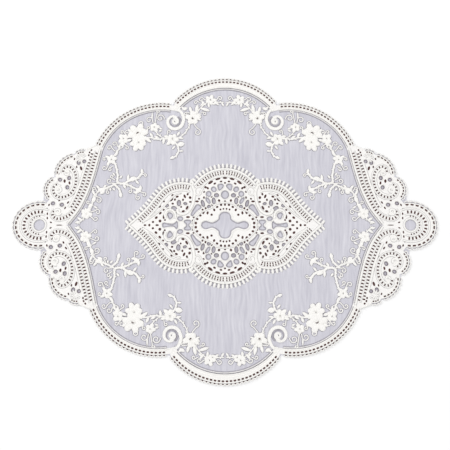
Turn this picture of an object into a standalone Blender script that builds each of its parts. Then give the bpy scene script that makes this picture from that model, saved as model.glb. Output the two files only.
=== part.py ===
# Lace placemat: a sheer net ground that carries a lace edge, two lace ends, a centre medallion and
# four flower sprays. The shape is the same about both centre lines, so the tables give the quarter
# with positive X and Y. Table sizes are in millimetres and angles in degrees.
# The origin lies under the middle of the mat, +X runs along its length and +Z points up.

import bmesh
import bpy
import numpy as np
from mathutils.geometry import delaunay_2d_cdt

METRES_PER_MM = 0.001

# Thicknesses of the two layers and the gap between them
NET_THICK = 1.0
LACE_THICK = 1.0
LAYER_GAP = 0.3
LACE_BASE = NET_THICK + LAYER_GAP
NET_INSET = 1.2
SIDE_GAP = 0.35

# The scalloped edge: circles that the outer edge follows, as centre X, centre Y and radius
TOP_LOBE = (0.0, 87.2, 69.3)
TOP_LOBE_INNER = (0.0, 81.6, 62.0)
SHOULDER_LOBE = (66.0, 56.0, 73.7)
SHOULDER_LOBE_INNER = (66.0, 56.0, 64.2)
ARC_STEP = 4.5
TOP_LOBE_END = 36.5
SHOULDER_START = 21.3
SHOULDER_END = 106.0

# The scroll that each shoulder's edge tape curls into, below the notch between two lobes
SCROLL_CENTRE = (52.0, 109.0)
SCROLL_TAPE = 3.0
SCROLL_EYE = 2.7
# Angle and radius of the tape about that centre
SCROLL_TURNS = (
    (105.0, 13.2), (140.0, 10.2), (190.0, 8.0), (300.0, 7.7), (390.0, 6.6), (470.0, 4.8), (560.0, 2.4),
)
SCROLL_STEPS = 24

# The lace end: lobes of its outer edge, as centre X, centre Y, radius along X and radius along Y
END_LOBES = (
    (147.0, 69.5, 10.5, 10.5),
    (152.5, 52.5, 23.3, 23.3),
    (170.0, 36.5, 15.8, 15.8),
    (187.0, 0.0, 28.0, 25.2),
)
END_LOBE_SIDES = 36
# Points of its inner edge below the shoulder's end, down to the tip on the centre line
END_INNER_EDGE = ((128.8, 66.5), (131.6, 54.4), (135.0, 42.0), (139.0, 30.0), (146.0, 15.2), (157.0, 0.0))
# Points between the lobes' centres that fill the lace end
END_FILL = ((143.4, 79.4), (147.0, 69.5), (160.0, 50.0), (170.0, 36.5), (183.0, 20.0), (187.0, 0.0))
# Its openings, as centre X, centre Y, width, height and turn
END_OPENINGS = (
    (168.4, 46.8, 4.6, 4.2, 20.0),
    (159.2, 48.6, 4.2, 4.8, 0.0),
    (160.6, 38.8, 4.2, 4.8, -30.0),
    (174.4, 22.2, 4.6, 4.2, -20.0),
    (165.4, 20.8, 4.8, 4.2, 0.0),
    (150.2, 64.6, 4.2, 4.8, -25.0),
    (144.4, 66.0, 4.2, 4.2, 0.0),
)
LOOP_OPENING = (187.0, 0.0, 11.2, 11.2, 0.0)

# The medallion: points of its cord edge from the top to the tip, and the beads around it
MEDALLION_TOP = (0.0, 21.0, 38.2)
MEDALLION_NOTCH = (32.1, 41.6)
MEDALLION_SIDE = (
    MEDALLION_NOTCH, (36.6, 43.6), (42.2, 44.4), (48.6, 44.2), (56.0, 42.2), (63.2, 38.0), (70.0, 30.6),
    (77.4, 20.8), (85.4, 12.2), (92.2, 5.8), (99.0, 0.0),
)
BEAD_LENGTH = 5.2
BEAD_ROOT = 0.8
BEAD_WIDTH = 2.5
BEAD_TAPER = 0.75
BEAD_PITCH = 4.0
# Corners of the quarter of the cross-shaped opening at its middle
CROSS_QUARTER = (
    (23.8, 0.0), (22.5, 2.8), (19.4, 3.9), (16.2, 3.2), (13.4, 2.3), (10.8, 3.0), (8.2, 4.6), (6.2, 6.4),
    (5.8, 9.4), (3.7, 12.4), (0.0, 13.4),
)
# Openings of the fans above and below the cross, as centre X, centre Y, width, height and turn
FAN_OPENINGS = (
    (0.0, 31.2, 7.8, 8.4, 0.0),
    (5.0, 38.8, 5.0, 6.4, -14.0),
    (11.2, 36.8, 5.0, 5.8, -35.0),
    (16.6, 32.2, 5.0, 6.0, -8.0),
    (8.8, 30.4, 4.4, 4.0, 0.0),
    (11.4, 24.6, 3.2, 6.0, -10.0),
    (17.2, 25.0, 3.2, 7.0, -32.0),
    (22.4, 22.0, 3.2, 6.8, -18.0),
)
# Openings of the side lobes
SIDE_OPENINGS = (
    (45.2, 6.6, 5.6, 4.4, 10.0),
    (46.7, 22.6, 4.0, 5.8, 0.0),
    (51.4, 17.0, 5.6, 4.2, 25.0),
)
# Corners round two openings that are not ovals
SIDE_WEDGE = ((24.0, 17.8), (25.4, 20.4), (28.6, 21.0), (31.2, 17.6), (34.4, 11.0), (32.6, 9.4), (29.2, 13.4))
SIDE_DROP = ((52.6, 9.0), (53.6, 11.8), (56.8, 12.9), (58.3, 10.8), (55.8, 6.0))
# Corners of two more that the centre line along X halves
HOURGLASS = ((38.9, 0.0), (41.0, 2.9), (40.4, 4.8), (37.4, 5.3), (34.6, 4.4), (36.0, 0.9))
BOW = ((63.2, 0.0), (61.6, 2.2), (54.0, 1.3), (51.2, 1.8), (48.8, 3.8), (47.8, 1.8))

# The flower spray: stems as width and points
SPRAY_STEMS = (
    (1.5, ((15.5, 131.0), (20.0, 128.6), (25.0, 124.0), (28.0, 120.0), (33.6, 112.2))),
    (1.6, ((36.0, 109.0), (38.0, 102.0), (43.3, 94.6), (49.6, 90.6), (54.1, 90.1))),
    (1.9, ((54.1, 90.1), (62.2, 90.6), (69.4, 89.6), (75.7, 91.2), (84.0, 91.6))),
    (1.6, ((64.9, 91.3), (68.6, 94.4), (71.2, 97.4), (73.0, 101.6))),
    (2.0, ((53.0, 88.4), (48.8, 82.5), (47.9, 77.0), (50.6, 71.8), (55.1, 69.8))),
    (1.8, ((97.0, 92.0), (102.0, 91.0), (106.5, 86.0), (110.0, 78.4), (115.5, 70.0))),
    (2.2, ((116.0, 69.0), (112.3, 62.4), (110.7, 56.1), (109.7, 49.8), (110.4, 43.6))),
    (2.4, ((110.4, 43.6), (103.0, 42.8), (99.0, 45.2), (91.9, 47.3), (88.3, 49.5), (85.0, 56.4))),
    (2.0, ((103.0, 42.6), (97.0, 40.6), (93.9, 39.0), (88.6, 36.2))),
    (2.0, ((110.4, 43.0), (114.0, 41.2), (119.2, 38.8), (125.7, 36.4))),
    (2.1, ((113.0, 41.4), (109.4, 39.0), (106.6, 34.4), (106.1, 30.2))),
    (1.8, ((126.6, 36.2), (132.4, 30.6), (134.2, 23.5), (136.1, 17.4), (140.0, 11.3))),
    (1.6, ((140.0, 11.3), (143.9, 5.6), (148.0, 2.4))),
)
# Flowers as centre X, centre Y, petal count, radius, petal width and turn
SPRAY_FLOWERS = (
    (15.2, 132.2, 5, 5.6, 4.4, 20.0),
    (33.6, 112.2, 5, 7.4, 6.2, 0.0),
    (54.1, 90.1, 5, 6.0, 4.8, 30.0),
    (73.2, 102.6, 5, 5.2, 4.4, 10.0),
    (90.1, 95.8, 6, 10.0, 7.0, 18.0),
    (89.2, 86.4, 7, 9.0, 6.0, 0.0),
    (105.0, 90.4, 4, 5.6, 5.4, 45.0),
    (116.6, 68.0, 5, 5.2, 4.4, 0.0),
    (140.2, 11.4, 5, 5.4, 4.4, 25.0),
)
# Leaves and buds as centre X, centre Y, length, width and turn
SPRAY_LEAVES = (
    (21.6, 121.8, 8.8, 3.6, 17.0),
    (35.6, 121.0, 8.0, 3.4, 75.0),
    (39.4, 122.9, 7.6, 3.8, -20.0),
    (45.6, 84.4, 8.0, 5.6, -10.0),
    (63.4, 87.6, 6.6, 3.2, -80.0),
    (79.2, 88.8, 7.8, 3.6, 36.0),
    (82.0, 90.6, 7.4, 4.4, 15.0),
    (99.0, 49.0, 6.8, 3.0, 95.0),
    (94.4, 48.2, 7.4, 4.2, -20.0),
    (85.0, 56.2, 5.0, 3.4, 80.0),
    (88.2, 36.0, 7.2, 6.0, -45.0),
    (106.2, 31.2, 6.0, 3.8, 80.0),
    (125.8, 36.2, 7.6, 6.0, 0.0),
    (133.2, 26.4, 6.8, 4.4, -70.0),
    (136.8, 19.4, 6.6, 3.6, -60.0),
    (54.2, 70.0, 5.2, 3.2, -20.0),
    (111.6, 74.4, 6.6, 2.8, -62.0),
    (102.4, 39.8, 6.4, 2.8, 60.0),
)
# Curled tendrils as start X, start Y, coil centre X, coil centre Y, coil radius and turn direction
SPRAY_TENDRILS = (
    (32.3, 107.0, 28.5, 97.4, 3.4, 1),
    (74.6, 106.0, 78.8, 110.4, 3.4, -1),
    (104.8, 87.2, 107.6, 82.4, 2.8, 1),
    (119.0, 64.0, 123.6, 59.4, 2.6, 1),
    (112.6, 42.0, 118.0, 45.6, 2.8, 1),
    (131.4, 31.6, 127.4, 27.0, 2.6, 1),
    (137.2, 12.4, 129.6, 13.2, 2.6, 1),
)
TENDRIL_WIDTH = 1.3
LEAF_SIDES = 6
PETAL_SIDES = 6
# A petal's middle and its length, as shares of the flower's radius
PETAL_MIDDLE = 0.52
PETAL_LENGTH = 0.96
# How far a tendril turns about its coil's centre, and the share of its radius that is left at the end
COIL_START = 20.0
COIL_END = 290.0
COIL_POINTS = 7
COIL_SHRINK = 0.62

# Points closer than this are merged, and points nearer than that to a straight line are dropped
SHORTEST_EDGE = 0.4
STRAIGHT_WITHIN = 0.05
SAME_POINT = 1e-4

COLOURS = {"net": (0.665, 0.665, 0.720), "lace": (0.955, 0.940, 0.910)}
ROUGHNESS = {"net": 0.75, "lace": 0.85}


def oval(x, y, width, height, turn=0.0, sides=7):
    """Corners of an ellipse with the given full width and height, turned about its centre."""
    angle = np.arange(sides) * 2.0 * np.pi / sides
    flat = np.stack([0.5 * width * np.cos(angle), 0.5 * height * np.sin(angle)], axis=1)
    c, s = np.cos(np.radians(turn)), np.sin(np.radians(turn))
    return flat @ np.array([[c, s], [-s, c]]) + (x, y)


def arc(centre, radius, start, end):
    """Points on a circle from one angle to the other, at steps of about ARC_STEP."""
    count = max(int(np.ceil(abs(end - start) / ARC_STEP)), 2) + 1
    angle = np.radians(np.linspace(start, end, count))
    return np.stack([centre[0] + radius * np.cos(angle), centre[1] + radius * np.sin(angle)], axis=1)


def curve(points, per_span=3):
    """A smooth curve through the points: each span is the cubic whose ends have the mean slope."""
    p = np.asarray(points, float)
    p = np.vstack([2 * p[0] - p[1], p, 2 * p[-1] - p[-2]])
    t = np.linspace(0.0, 1.0, per_span, endpoint=False)[:, None]
    spans = [
        0.5 * (2 * b + (c - a) * t + (2 * a - 5 * b + 4 * c - d) * t**2 + (3 * b - a - 3 * c + d) * t**3)
        for a, b, c, d in zip(p, p[1:], p[2:], p[3:])
    ]
    return np.vstack(spans + [p[-2:-1]])


def tape(path, width):
    """The outline of a tape of one width laid along a path: both sides stand off by half the width."""
    p = np.asarray(path, float)
    along = np.gradient(p, axis=0)
    along /= np.linalg.norm(along, axis=1)[:, None]
    aside = np.stack([-along[:, 1], along[:, 0]], axis=1) * 0.5 * width
    return np.vstack([p + aside, (p - aside)[::-1]])


def sector(outer, inner, start, end):
    """The tape between a lobe's outer and inner circles, from one angle to another."""
    return np.vstack([arc(outer[:2], outer[2], start, end), arc(inner[:2], inner[2], end, start)])


def mirrored(shapes, x=1, y=1):
    """Copies of the shapes with their X or Y turned over."""
    return [np.asarray(s, float) * (x, y) for s in shapes]


def inside(points, loop):
    """True for each point that a ray along +X leaves the loop from an odd number of times."""
    x, y = points[:, 0:1], points[:, 1:2]
    a, b = loop, np.roll(loop, -1, axis=0)
    rise = np.where(b[:, 1] == a[:, 1], 1.0, b[:, 1] - a[:, 1])
    crosses = (a[:, 1] > y) != (b[:, 1] > y)
    return np.sum(crosses & (x < a[:, 0] + (y - a[:, 1]) * (b[:, 0] - a[:, 0]) / rise), axis=1) % 2 == 1


def triangulate(loops):
    """Points and triangles of the plane that hold every side of the loops."""
    points = np.vstack(loops)
    sides, first = [], 0
    for loop in loops:
        count = len(loop)
        sides += [(first + i, first + (i + 1) % count) for i in range(count)]
        first += count
    found = delaunay_2d_cdt([tuple(p) for p in points], sides, [], 0, SAME_POINT)
    return np.array([tuple(p) for p in found[0]]), np.array([tuple(f) for f in found[2]])


def rim(triangles):
    """Directed sides that only one triangle has, as a map from each point to the next one."""
    sides = {(int(t[i]), int(t[(i + 1) % 3])) for t in triangles for i in range(3)}
    outer = {a: b for a, b in sides if (b, a) not in sides}
    if len(outer) != sum((b, a) not in sides for a, b in sides):
        raise ValueError("two parts of the shape touch at one point")
    return outer


def simpler(loop):
    """The loop without points that crowd their neighbour or lie on a straight side."""
    kept = list(loop)
    index = 0
    while index < len(kept) and len(kept) > 4:
        before, here, after = kept[index - 1], kept[index], kept[(index + 1) % len(kept)]
        chord, step = after - before, here - before
        off = abs(chord[0] * step[1] - chord[1] * step[0]) / max(np.linalg.norm(chord), SAME_POINT)
        if np.linalg.norm(step) < SHORTEST_EDGE or off < STRAIGHT_WITHIN:
            kept.pop(index)
        else:
            index += 1
    return np.array(kept)


def united_loops(solids, openings):
    """The rims of the area that is in any solid and in no opening."""
    points, triangles = triangulate(list(solids) + list(openings))
    middle = points[triangles].mean(axis=1)
    keep = np.any([inside(middle, s) for s in solids], axis=0)
    for opening in openings:
        keep &= ~inside(middle, opening)
    step = rim(triangles[keep])
    loops = []
    while step:
        start, here = next(iter(step.items()))
        loop = [points[start]]
        del step[start]
        while here != start:
            loop.append(points[here])
            here = step.pop(here)
        loops.append(simpler(np.array(loop)))
    return loops


def plate(name, material, solids, openings, low, thickness):
    """One flat body of the united shapes, from its low face up by its thickness."""
    loops = united_loops(solids, openings)
    points, triangles = triangulate(loops)
    middle = points[triangles].mean(axis=1)
    keep = np.sum([inside(middle, loop) for loop in loops], axis=0) % 2 == 1
    bm = bmesh.new()
    floor = [bm.verts.new((x * METRES_PER_MM, y * METRES_PER_MM, low * METRES_PER_MM)) for x, y in points]
    faces = [bm.faces.new([floor[i] for i in t]) for t in triangles[keep]]
    bmesh.ops.delete(bm, geom=[v for v in bm.verts if not v.link_faces], context="VERTS")
    raised = bmesh.ops.extrude_face_region(bm, geom=faces, use_keep_orig=True)["geom"]
    top = [v for v in raised if isinstance(v, bmesh.types.BMVert)]
    bmesh.ops.translate(bm, verts=top, vec=(0.0, 0.0, thickness * METRES_PER_MM))
    bmesh.ops.recalc_face_normals(bm, faces=bm.faces)
    mesh = bpy.data.meshes.new(name)
    bm.to_mesh(mesh)
    bm.free()
    mesh.materials.append(material)
    piece = bpy.data.objects.new(name, mesh)
    bpy.context.scene.collection.objects.link(piece)
    return piece


def cloth_material(name):
    """A plain principled material in one of the two thread colours."""
    material = bpy.data.materials.new(name)
    material.use_nodes = True
    shader = material.node_tree.nodes["Principled BSDF"]
    shader.inputs["Base Color"].default_value = COLOURS[name] + (1.0,)
    shader.inputs["Roughness"].default_value = ROUGHNESS[name]
    shader.inputs["Metallic"].default_value = 0.0
    return material


def scroll():
    """The tape that curls in below the notch: its radius falls with the angle, and it ends in an eye."""
    angles, radii = np.array(SCROLL_TURNS).T
    angle = np.linspace(angles[0], angles[-1], SCROLL_STEPS)
    radius = np.interp(angle, angles, radii)
    turn = np.radians(angle)
    path = np.stack([radius * np.cos(turn), radius * np.sin(turn)], axis=1) + SCROLL_CENTRE
    return [tape(path, SCROLL_TAPE), oval(*path[-1], 2 * SCROLL_EYE, 2 * SCROLL_EYE)]


def edge_shapes():
    """The tapes of the top lobe, both shoulders and their scrolls."""
    side = [sector(SHOULDER_LOBE, SHOULDER_LOBE_INNER, SHOULDER_START, SHOULDER_END)] + scroll()
    top = sector(TOP_LOBE, TOP_LOBE_INNER, TOP_LOBE_END, 180.0 - TOP_LOBE_END)
    return [top] + side + mirrored(side, x=-1)


def lobe_discs(inset):
    """Discs of the lace end's lobes, each made smaller by the inset."""
    shapes = [
        oval(x, y, 2 * (rx - inset), 2 * (ry - inset), sides=END_LOBE_SIDES) for x, y, rx, ry in END_LOBES
    ]
    return shapes + mirrored(shapes[:-1], y=-1)


def end_corner(radius):
    """The corner of the lace end that far from the shoulder's centre, beside the end of the edge tape."""
    c, s = np.cos(np.radians(SHOULDER_START)), np.sin(np.radians(SHOULDER_START))
    return (SHOULDER_LOBE[0] + radius * c + SIDE_GAP * s, SHOULDER_LOBE[1] + radius * s - SIDE_GAP * c)


def end_shapes():
    """The solid lobes of the right lace end, and its openings with the ground beside it cut away."""
    top = end_corner(SHOULDER_LOBE_INNER[2])
    inner = curve((top,) + END_INNER_EDGE)
    inner = np.vstack([inner[:-1], (inner * (1, -1))[::-1]])
    outer = np.array((end_corner(SHOULDER_LOBE[2]),) + END_FILL)
    fill = np.vstack([inner, outer * (1, -1), outer[-2::-1]])
    ground = np.vstack([inner, [(SHOULDER_LOBE[0], -top[1]), (SHOULDER_LOBE[0], top[1])]])
    gaps = [oval(*row) for row in END_OPENINGS]
    return [fill] + lobe_discs(0.0), [ground, oval(*LOOP_OPENING, sides=16)] + gaps + mirrored(gaps, y=-1)


def medallion_edge():
    """The quarter of the medallion's cord edge: a round top lobe, a notch and an ogee side lobe."""
    x, y, radius = MEDALLION_TOP
    notch = np.degrees(np.arctan2(MEDALLION_NOTCH[1] - y, MEDALLION_NOTCH[0] - x))
    return np.vstack([arc((x, y), radius, 90.0, notch)[:-1], curve(MEDALLION_SIDE)])


def beads(edge):
    """Small tapered beads that stand out from the edge at an even pitch, at right angles to it."""
    length = np.concatenate([[0.0], np.cumsum(np.linalg.norm(np.diff(edge, axis=0), axis=1))])
    count = int(round(length[-1] / BEAD_PITCH))
    at = (np.arange(count) + 0.5) * length[-1] / count
    place = np.stack([np.interp(at, length, edge[:, i]) for i in range(2)], axis=1)
    nearby = np.stack([np.interp(at + 0.5, length, edge[:, i]) for i in range(2)], axis=1)
    along = (nearby - place) / np.linalg.norm(nearby - place, axis=1)[:, None]
    out = np.stack([-along[:, 1], along[:, 0]], axis=1)
    wide, narrow = along * 0.5 * BEAD_WIDTH, along * 0.5 * BEAD_WIDTH * BEAD_TAPER
    root, tip = place - out * BEAD_ROOT, place + out * (BEAD_LENGTH - BEAD_ROOT)
    return list(np.stack([root - wide, root + wide, tip + narrow, tip - narrow], axis=1))


def four_ways(shapes):
    """The shapes in all four quarters."""
    return list(shapes) + mirrored(shapes, x=-1) + mirrored(shapes, y=-1) + mirrored(shapes, x=-1, y=-1)


def whole_outline(quarter):
    """A closed outline from its quarter, which runs from one centre line to the other."""
    q = np.asarray(quarter, float)
    half = np.vstack([q, (q * (1, -1))[::-1][1:]])
    return np.vstack([half, (half * (-1, 1))[::-1][1:-1]])


def openings_of(rows):
    """Oval openings of the table's rows, with the copies across each centre line that they leave."""
    shapes = []
    for x, y, width, height, turn in rows:
        for mirror_x in (1, -1) if x else (1,):
            for mirror_y in (1, -1) if y else (1,):
                turned = turn * mirror_x * mirror_y
                shapes.append(oval(x * mirror_x, y * mirror_y, width, height, turned))
    return shapes


def medallion_shapes():
    """The medallion's body with its beads, and its openings."""
    edge = medallion_edge()
    solids = [whole_outline(edge)] + four_ways(beads(edge))
    cross = whole_outline(np.array(CROSS_QUARTER)[::-1])
    halved = [np.vstack([half, mirrored([half], y=-1)[0][:0:-1]]) for half in (HOURGLASS, BOW)]
    gaps = halved + mirrored(halved, x=-1) + four_ways([np.array(SIDE_WEDGE), np.array(SIDE_DROP)])
    return solids, [cross] + gaps + openings_of(FAN_OPENINGS + SIDE_OPENINGS)


def flower(x, y, petals, radius, width, turn):
    """Oval petals around a centre, each reaching from the centre to the radius."""
    shapes = []
    for k in range(petals):
        angle = turn + 90.0 + k * 360.0 / petals
        c, s = np.cos(np.radians(angle)), np.sin(np.radians(angle))
        middle = (x + PETAL_MIDDLE * radius * c, y + PETAL_MIDDLE * radius * s)
        shapes.append(oval(*middle, PETAL_LENGTH * radius, width, angle, PETAL_SIDES))
    return shapes


def tendril(x, y, coil_x, coil_y, radius, way):
    """A thread from its start onto a circle, which it then follows for most of a turn."""
    start = np.degrees(np.arctan2(y - coil_y, x - coil_x))
    angle = np.radians(start + way * np.linspace(COIL_START, COIL_END, COIL_POINTS))
    shrink = np.linspace(1.0, COIL_SHRINK, COIL_POINTS)
    ring = np.stack([radius * shrink * np.cos(angle), radius * shrink * np.sin(angle)], axis=1)
    return tape(np.vstack([[(x, y)], ring + (coil_x, coil_y)]), TENDRIL_WIDTH)


def spray_shapes():
    """Every stem, flower, leaf and tendril of the spray in the quarter with positive X and Y."""
    shapes = [tape(curve(points, 2), width) for width, points in SPRAY_STEMS]
    for row in SPRAY_FLOWERS:
        shapes += flower(*row)
    shapes += [oval(*row, sides=LEAF_SIDES) for row in SPRAY_LEAVES]
    return shapes + [tendril(*row) for row in SPRAY_TENDRILS]


def net_shapes():
    """The net ground: discs of every lobe, a little smaller than the lace, and the middle between them."""
    lobes = []
    for (x, y, radius), turns in ((TOP_LOBE, (1,)), (SHOULDER_LOBE, (1, -1))):
        for way in turns:
            centre = (x * way, y)
            lobes.append(arc(centre, radius - NET_INSET, 0.0, 360.0 - ARC_STEP))
    discs = lobe_discs(NET_INSET)
    discs += mirrored(discs, x=-1)
    corner = end_corner(SHOULDER_LOBE[2] - NET_INSET)
    fill = np.vstack([[(0.0, TOP_LOBE[1]), SHOULDER_LOBE[:2], corner], np.array(END_FILL) - (0.0, NET_INSET)])
    fill[-1, 1] = 0.0
    return lobes + mirrored(lobes, y=-1) + discs + [whole_outline(fill)]


def build():
    """Every piece of the mat: the ground below and the lace pieces on it."""
    net, lace = cloth_material("net"), cloth_material("lace")
    plate("net_ground", net, net_shapes(), [], 0.0, NET_THICK)

    edge = edge_shapes()
    plate("edge_lace_top", lace, edge, [], LACE_BASE, LACE_THICK)
    plate("edge_lace_bottom", lace, mirrored(edge, y=-1), [], LACE_BASE, LACE_THICK)

    solids, openings = end_shapes()
    plate("end_lace_right", lace, solids, openings, LACE_BASE, LACE_THICK)
    plate("end_lace_left", lace, mirrored(solids, x=-1), mirrored(openings, x=-1), LACE_BASE, LACE_THICK)

    plate("medallion_lace", lace, *medallion_shapes(), LACE_BASE, LACE_THICK)

    spray = spray_shapes()
    for across, x in (("right", 1), ("left", -1)):
        for up, y in (("top", 1), ("bottom", -1)):
            plate(f"spray_{up}_{across}", lace, mirrored(spray, x=x, y=y), [], LACE_BASE, LACE_THICK)


for old in list(bpy.data.objects):
    bpy.data.objects.remove(old, do_unlink=True)
build()
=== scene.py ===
import bpy
import numpy as np
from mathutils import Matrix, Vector
from mathutils.geometry import delaunay_2d_cdt


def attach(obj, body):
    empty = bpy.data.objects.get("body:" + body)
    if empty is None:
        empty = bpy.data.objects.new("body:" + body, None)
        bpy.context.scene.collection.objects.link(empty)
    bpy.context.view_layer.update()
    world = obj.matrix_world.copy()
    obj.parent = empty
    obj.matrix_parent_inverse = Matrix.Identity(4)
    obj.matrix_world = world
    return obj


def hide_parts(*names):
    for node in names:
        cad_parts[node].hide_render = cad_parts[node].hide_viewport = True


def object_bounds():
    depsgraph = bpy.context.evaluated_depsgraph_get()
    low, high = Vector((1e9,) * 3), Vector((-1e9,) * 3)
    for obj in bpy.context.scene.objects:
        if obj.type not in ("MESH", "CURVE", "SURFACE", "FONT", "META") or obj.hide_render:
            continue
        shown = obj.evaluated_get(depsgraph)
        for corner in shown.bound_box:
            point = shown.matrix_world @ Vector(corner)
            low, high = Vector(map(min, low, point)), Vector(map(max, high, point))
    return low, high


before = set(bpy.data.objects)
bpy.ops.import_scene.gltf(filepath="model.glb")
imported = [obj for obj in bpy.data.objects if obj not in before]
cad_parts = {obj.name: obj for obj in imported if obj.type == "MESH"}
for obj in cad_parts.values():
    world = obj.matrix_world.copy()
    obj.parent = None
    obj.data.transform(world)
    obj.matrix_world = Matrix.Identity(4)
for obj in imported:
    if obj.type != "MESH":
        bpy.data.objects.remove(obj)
box_of_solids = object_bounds()

METRES_PER_MM = 0.001

# Heights of the layers above the floor
NET_TOP = 1.0
# The painted shade lies in thin patches and strips just above the net
SHADE_LOW = 1.02
SHADE_THICK = 0.03
CLOTH_LOW = 1.10
CLOTH_THICK = 0.50
CLOTH_TOP = CLOTH_LOW + CLOTH_THICK
SEAM_DROP = 0.06
CORD_LOW = 1.20
BAR_LOW = 1.15

# How much wider than its thread the painted shade beside it is: beside threads on the net, beside a
# line that borders the net, and beside cords on the close stitches
THREAD_HALO = 0.9
LINE_HALO = 2.0
CORD_HALO = 0.7
# A thread on the net along the lace's inner border: its width and height
LINE = (0.8, 0.8)
# Sections of threads that aren't a plain half oval: how full and of how many points. Full is the power
# of the half oval's height, so a lower one is squarer.
SOFT_EDGED = {"full": 0.8, "sides": 8}
PADDED = {"full": 0.7, "sides": 8}
SQUARED = {"full": 0.6, "sides": 8}
FLAT = {"full": 0.3, "sides": 4}
# How wide the crease of a petal is, as a share of half its width
CREASE_WIDE = 0.35
# Points of the cloth's outlines that lie closer than this are one point
SAME_POINT = 1e-4
# Step between the points of a curve, and of a thread that turns more sharply
CURVE_STEP = 0.9
FINE_STEP = 0.7
# Points that a smooth curve has in each span before its steps are made even, and a spiral in each turn
SPAN_POINTS = 12
TURN_POINTS = 26

# Finishes of the lace pieces, in the order of their material slots; the last four are painted shade
THREAD, CLOTH, SHADE, FAINT, DUSK, PAINTED_CORD_SHADE = range(6)

# Circles that the scalloped edge follows, as centre X, centre Y and radius
TOP_LOBE = (0.0, 87.2, 69.3)
TOP_TAPE_INNER = (0.0, 81.6, 63.9)
TOP_LINE = (0.0, 81.6, 62.6)
SHOULDER_LOBE = (66.0, 56.0, 73.7)
SHOULDER_TAPE_INNER = (66.0, 56.0, 65.7)
SHOULDER_LINE = (66.0, 56.0, 64.7)
TOP_LOBE_END = 37.0
SHOULDER_START = 21.3
SHOULDER_NOTCH = 98.4
SHOULDER_TAPE_END = 106.0
# How far inside the outline the net ends and the edge tape's close stitches begin
NET_INSET = 1.7
TAPE_OUTER = 2.4
# Points of the net's grid along X and Y
NET_COLUMNS = 521
NET_ROWS = 41
# Cords on the edge tape, as distance to the left of its inner edge, width, height and fullness
TOP_TAPE_CORDS = ((0.7, 1.3, 0.95, 1.0), (2.6, 2.0, 0.62, 0.6))
SHOULDER_TAPE_CORDS = ((0.75, 1.4, 0.95, 1.0),)
# The edge tape's slots: length, width and pitch, and the margin at both ends of a row
EDGE_SLOTS = (2.9, 1.8, 4.1)
TOP_MARGIN = 2.2
SHOULDER_MARGIN = 1.6

# The scroll at the notch: its centre, and its tape's angle, radius and width about that
SCROLL_CENTRE = (52.0, 109.0)
SCROLL_TURNS = (
    (105.0, 13.2, 2.8), (140.0, 10.4, 3.4), (190.0, 8.3, 3.6), (300.0, 8.2, 3.5), (370.0, 7.4, 3.2),
    (430.0, 5.8, 2.4), (480.0, 4.4, 1.4),
)
SCROLL_STEPS = 64
SCROLL_HIGH = 1.0
# The cords along both sides of its tape: how far in they lie, their width and height
SCROLL_RIM = (0.4, 0.8, 1.12)
# The disc in its middle: its radius, and its two coils as how far in they start, turns, eye, width,
# height and section
SCROLL_DISC = 5.1
DISC_COILS = ((1.4, 1.5, 0.5, 2.7, 1.05, SQUARED), (0.4, 1.3, 1.6, 0.8, 1.2, {}))
DISC_START = 60.0
# The painted shade in the gap round the disc: how far out its middle lies, its width, first and last
# angle
SCROLL_GAP = (0.6, 2.2, 120.0, 420.0)

# Loops of thread along an outline: how much of the pitch one takes, how far in they lie at their tops
# and feet, how square they are, and their width and height
LOOP_SHARE = 0.94
LOOP_TOP = 0.55
LOOP_FOOT = 2.05
LOOP_BEND = 2.4
LOOP_WIDE = 1.15
LOOP_HIGH = 0.85
# The dark dot of painted shade in each loop: how far in it lies, its share of the pitch and its width
DOT_ROW = 1.7
DOT_SHARE = 0.46
DOT_WIDE = 1.1
# Rows of a rim, as distances in from the outline: its cord, and its slots on the edge and the lace end
RIM_CORD = 2.9
EDGE_SLOT_ROW = 4.5
END_SLOT_ROW = 3.9
# Width and height of that cord and of the one inside the slots, and how far in from them that lies
RIM_CORD_SIZE = (1.2, 1.0)
INNER_CORD_SIZE = (1.1, 0.95)
INNER_CORD_GAP = 0.5
# The bars between the slots: how far they reach to each side, as a share of the slots' width, and
# their height
BAR_REACH = 0.6
RIM_BAR_HIGH = 0.9
# The rungs between a ladder's slots: how much wider than the gap, and how high
RUNG_LAP = 0.1
RUNG_HIGH = 0.8
# How square the slots' corners are, 1 being an oval
SLOT_SQUARE = 0.65
# How much larger than a slot, or than a small opening, the painted shade below it is
SHADE_GROWTH = 1.3
DIM_GROWTH = 1.15

# Lobes of the lace end, as centre X, centre Y, radius along X, radius along Y, first and last angle
END_LOBES = (
    (147.0, 69.5, 10.5, 10.5, 114.0, 35.6),
    (152.5, 52.5, 23.3, 23.3, 82.6, -3.2),
    (170.0, 36.5, 15.8, 15.8, 68.5, -49.8),
    (187.0, 0.0, 28.0, 25.2, 104.0, -104.0),
)
END_INNER_EDGE = (
    (125.9, 79.0), (128.8, 66.5), (131.6, 54.4), (135.0, 42.0), (139.0, 30.0), (146.0, 15.2),
    (157.0, 0.0),
)
# A tab of cloth that bridges the seam between the edge lace and the lace end
SEAM_TAB = np.array(((125.2, 80.5), (126.6, 77.4), (134.6, 80.4), (133.4, 83.2)))
# Corners of the close stitches between the inner edge and the lobes
END_FILL = ((134.7, 82.6), (143.4, 79.4), (147.0, 69.5), (160.0, 50.0), (170.0, 36.5), (183.0, 20.0))
# The area on the net's side of the inner edge, which has no lace: its tip and its far corner
END_GROUND_TIP = (160.0, 0.0)
END_GROUND_FAR = (100.0, 79.0)
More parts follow.
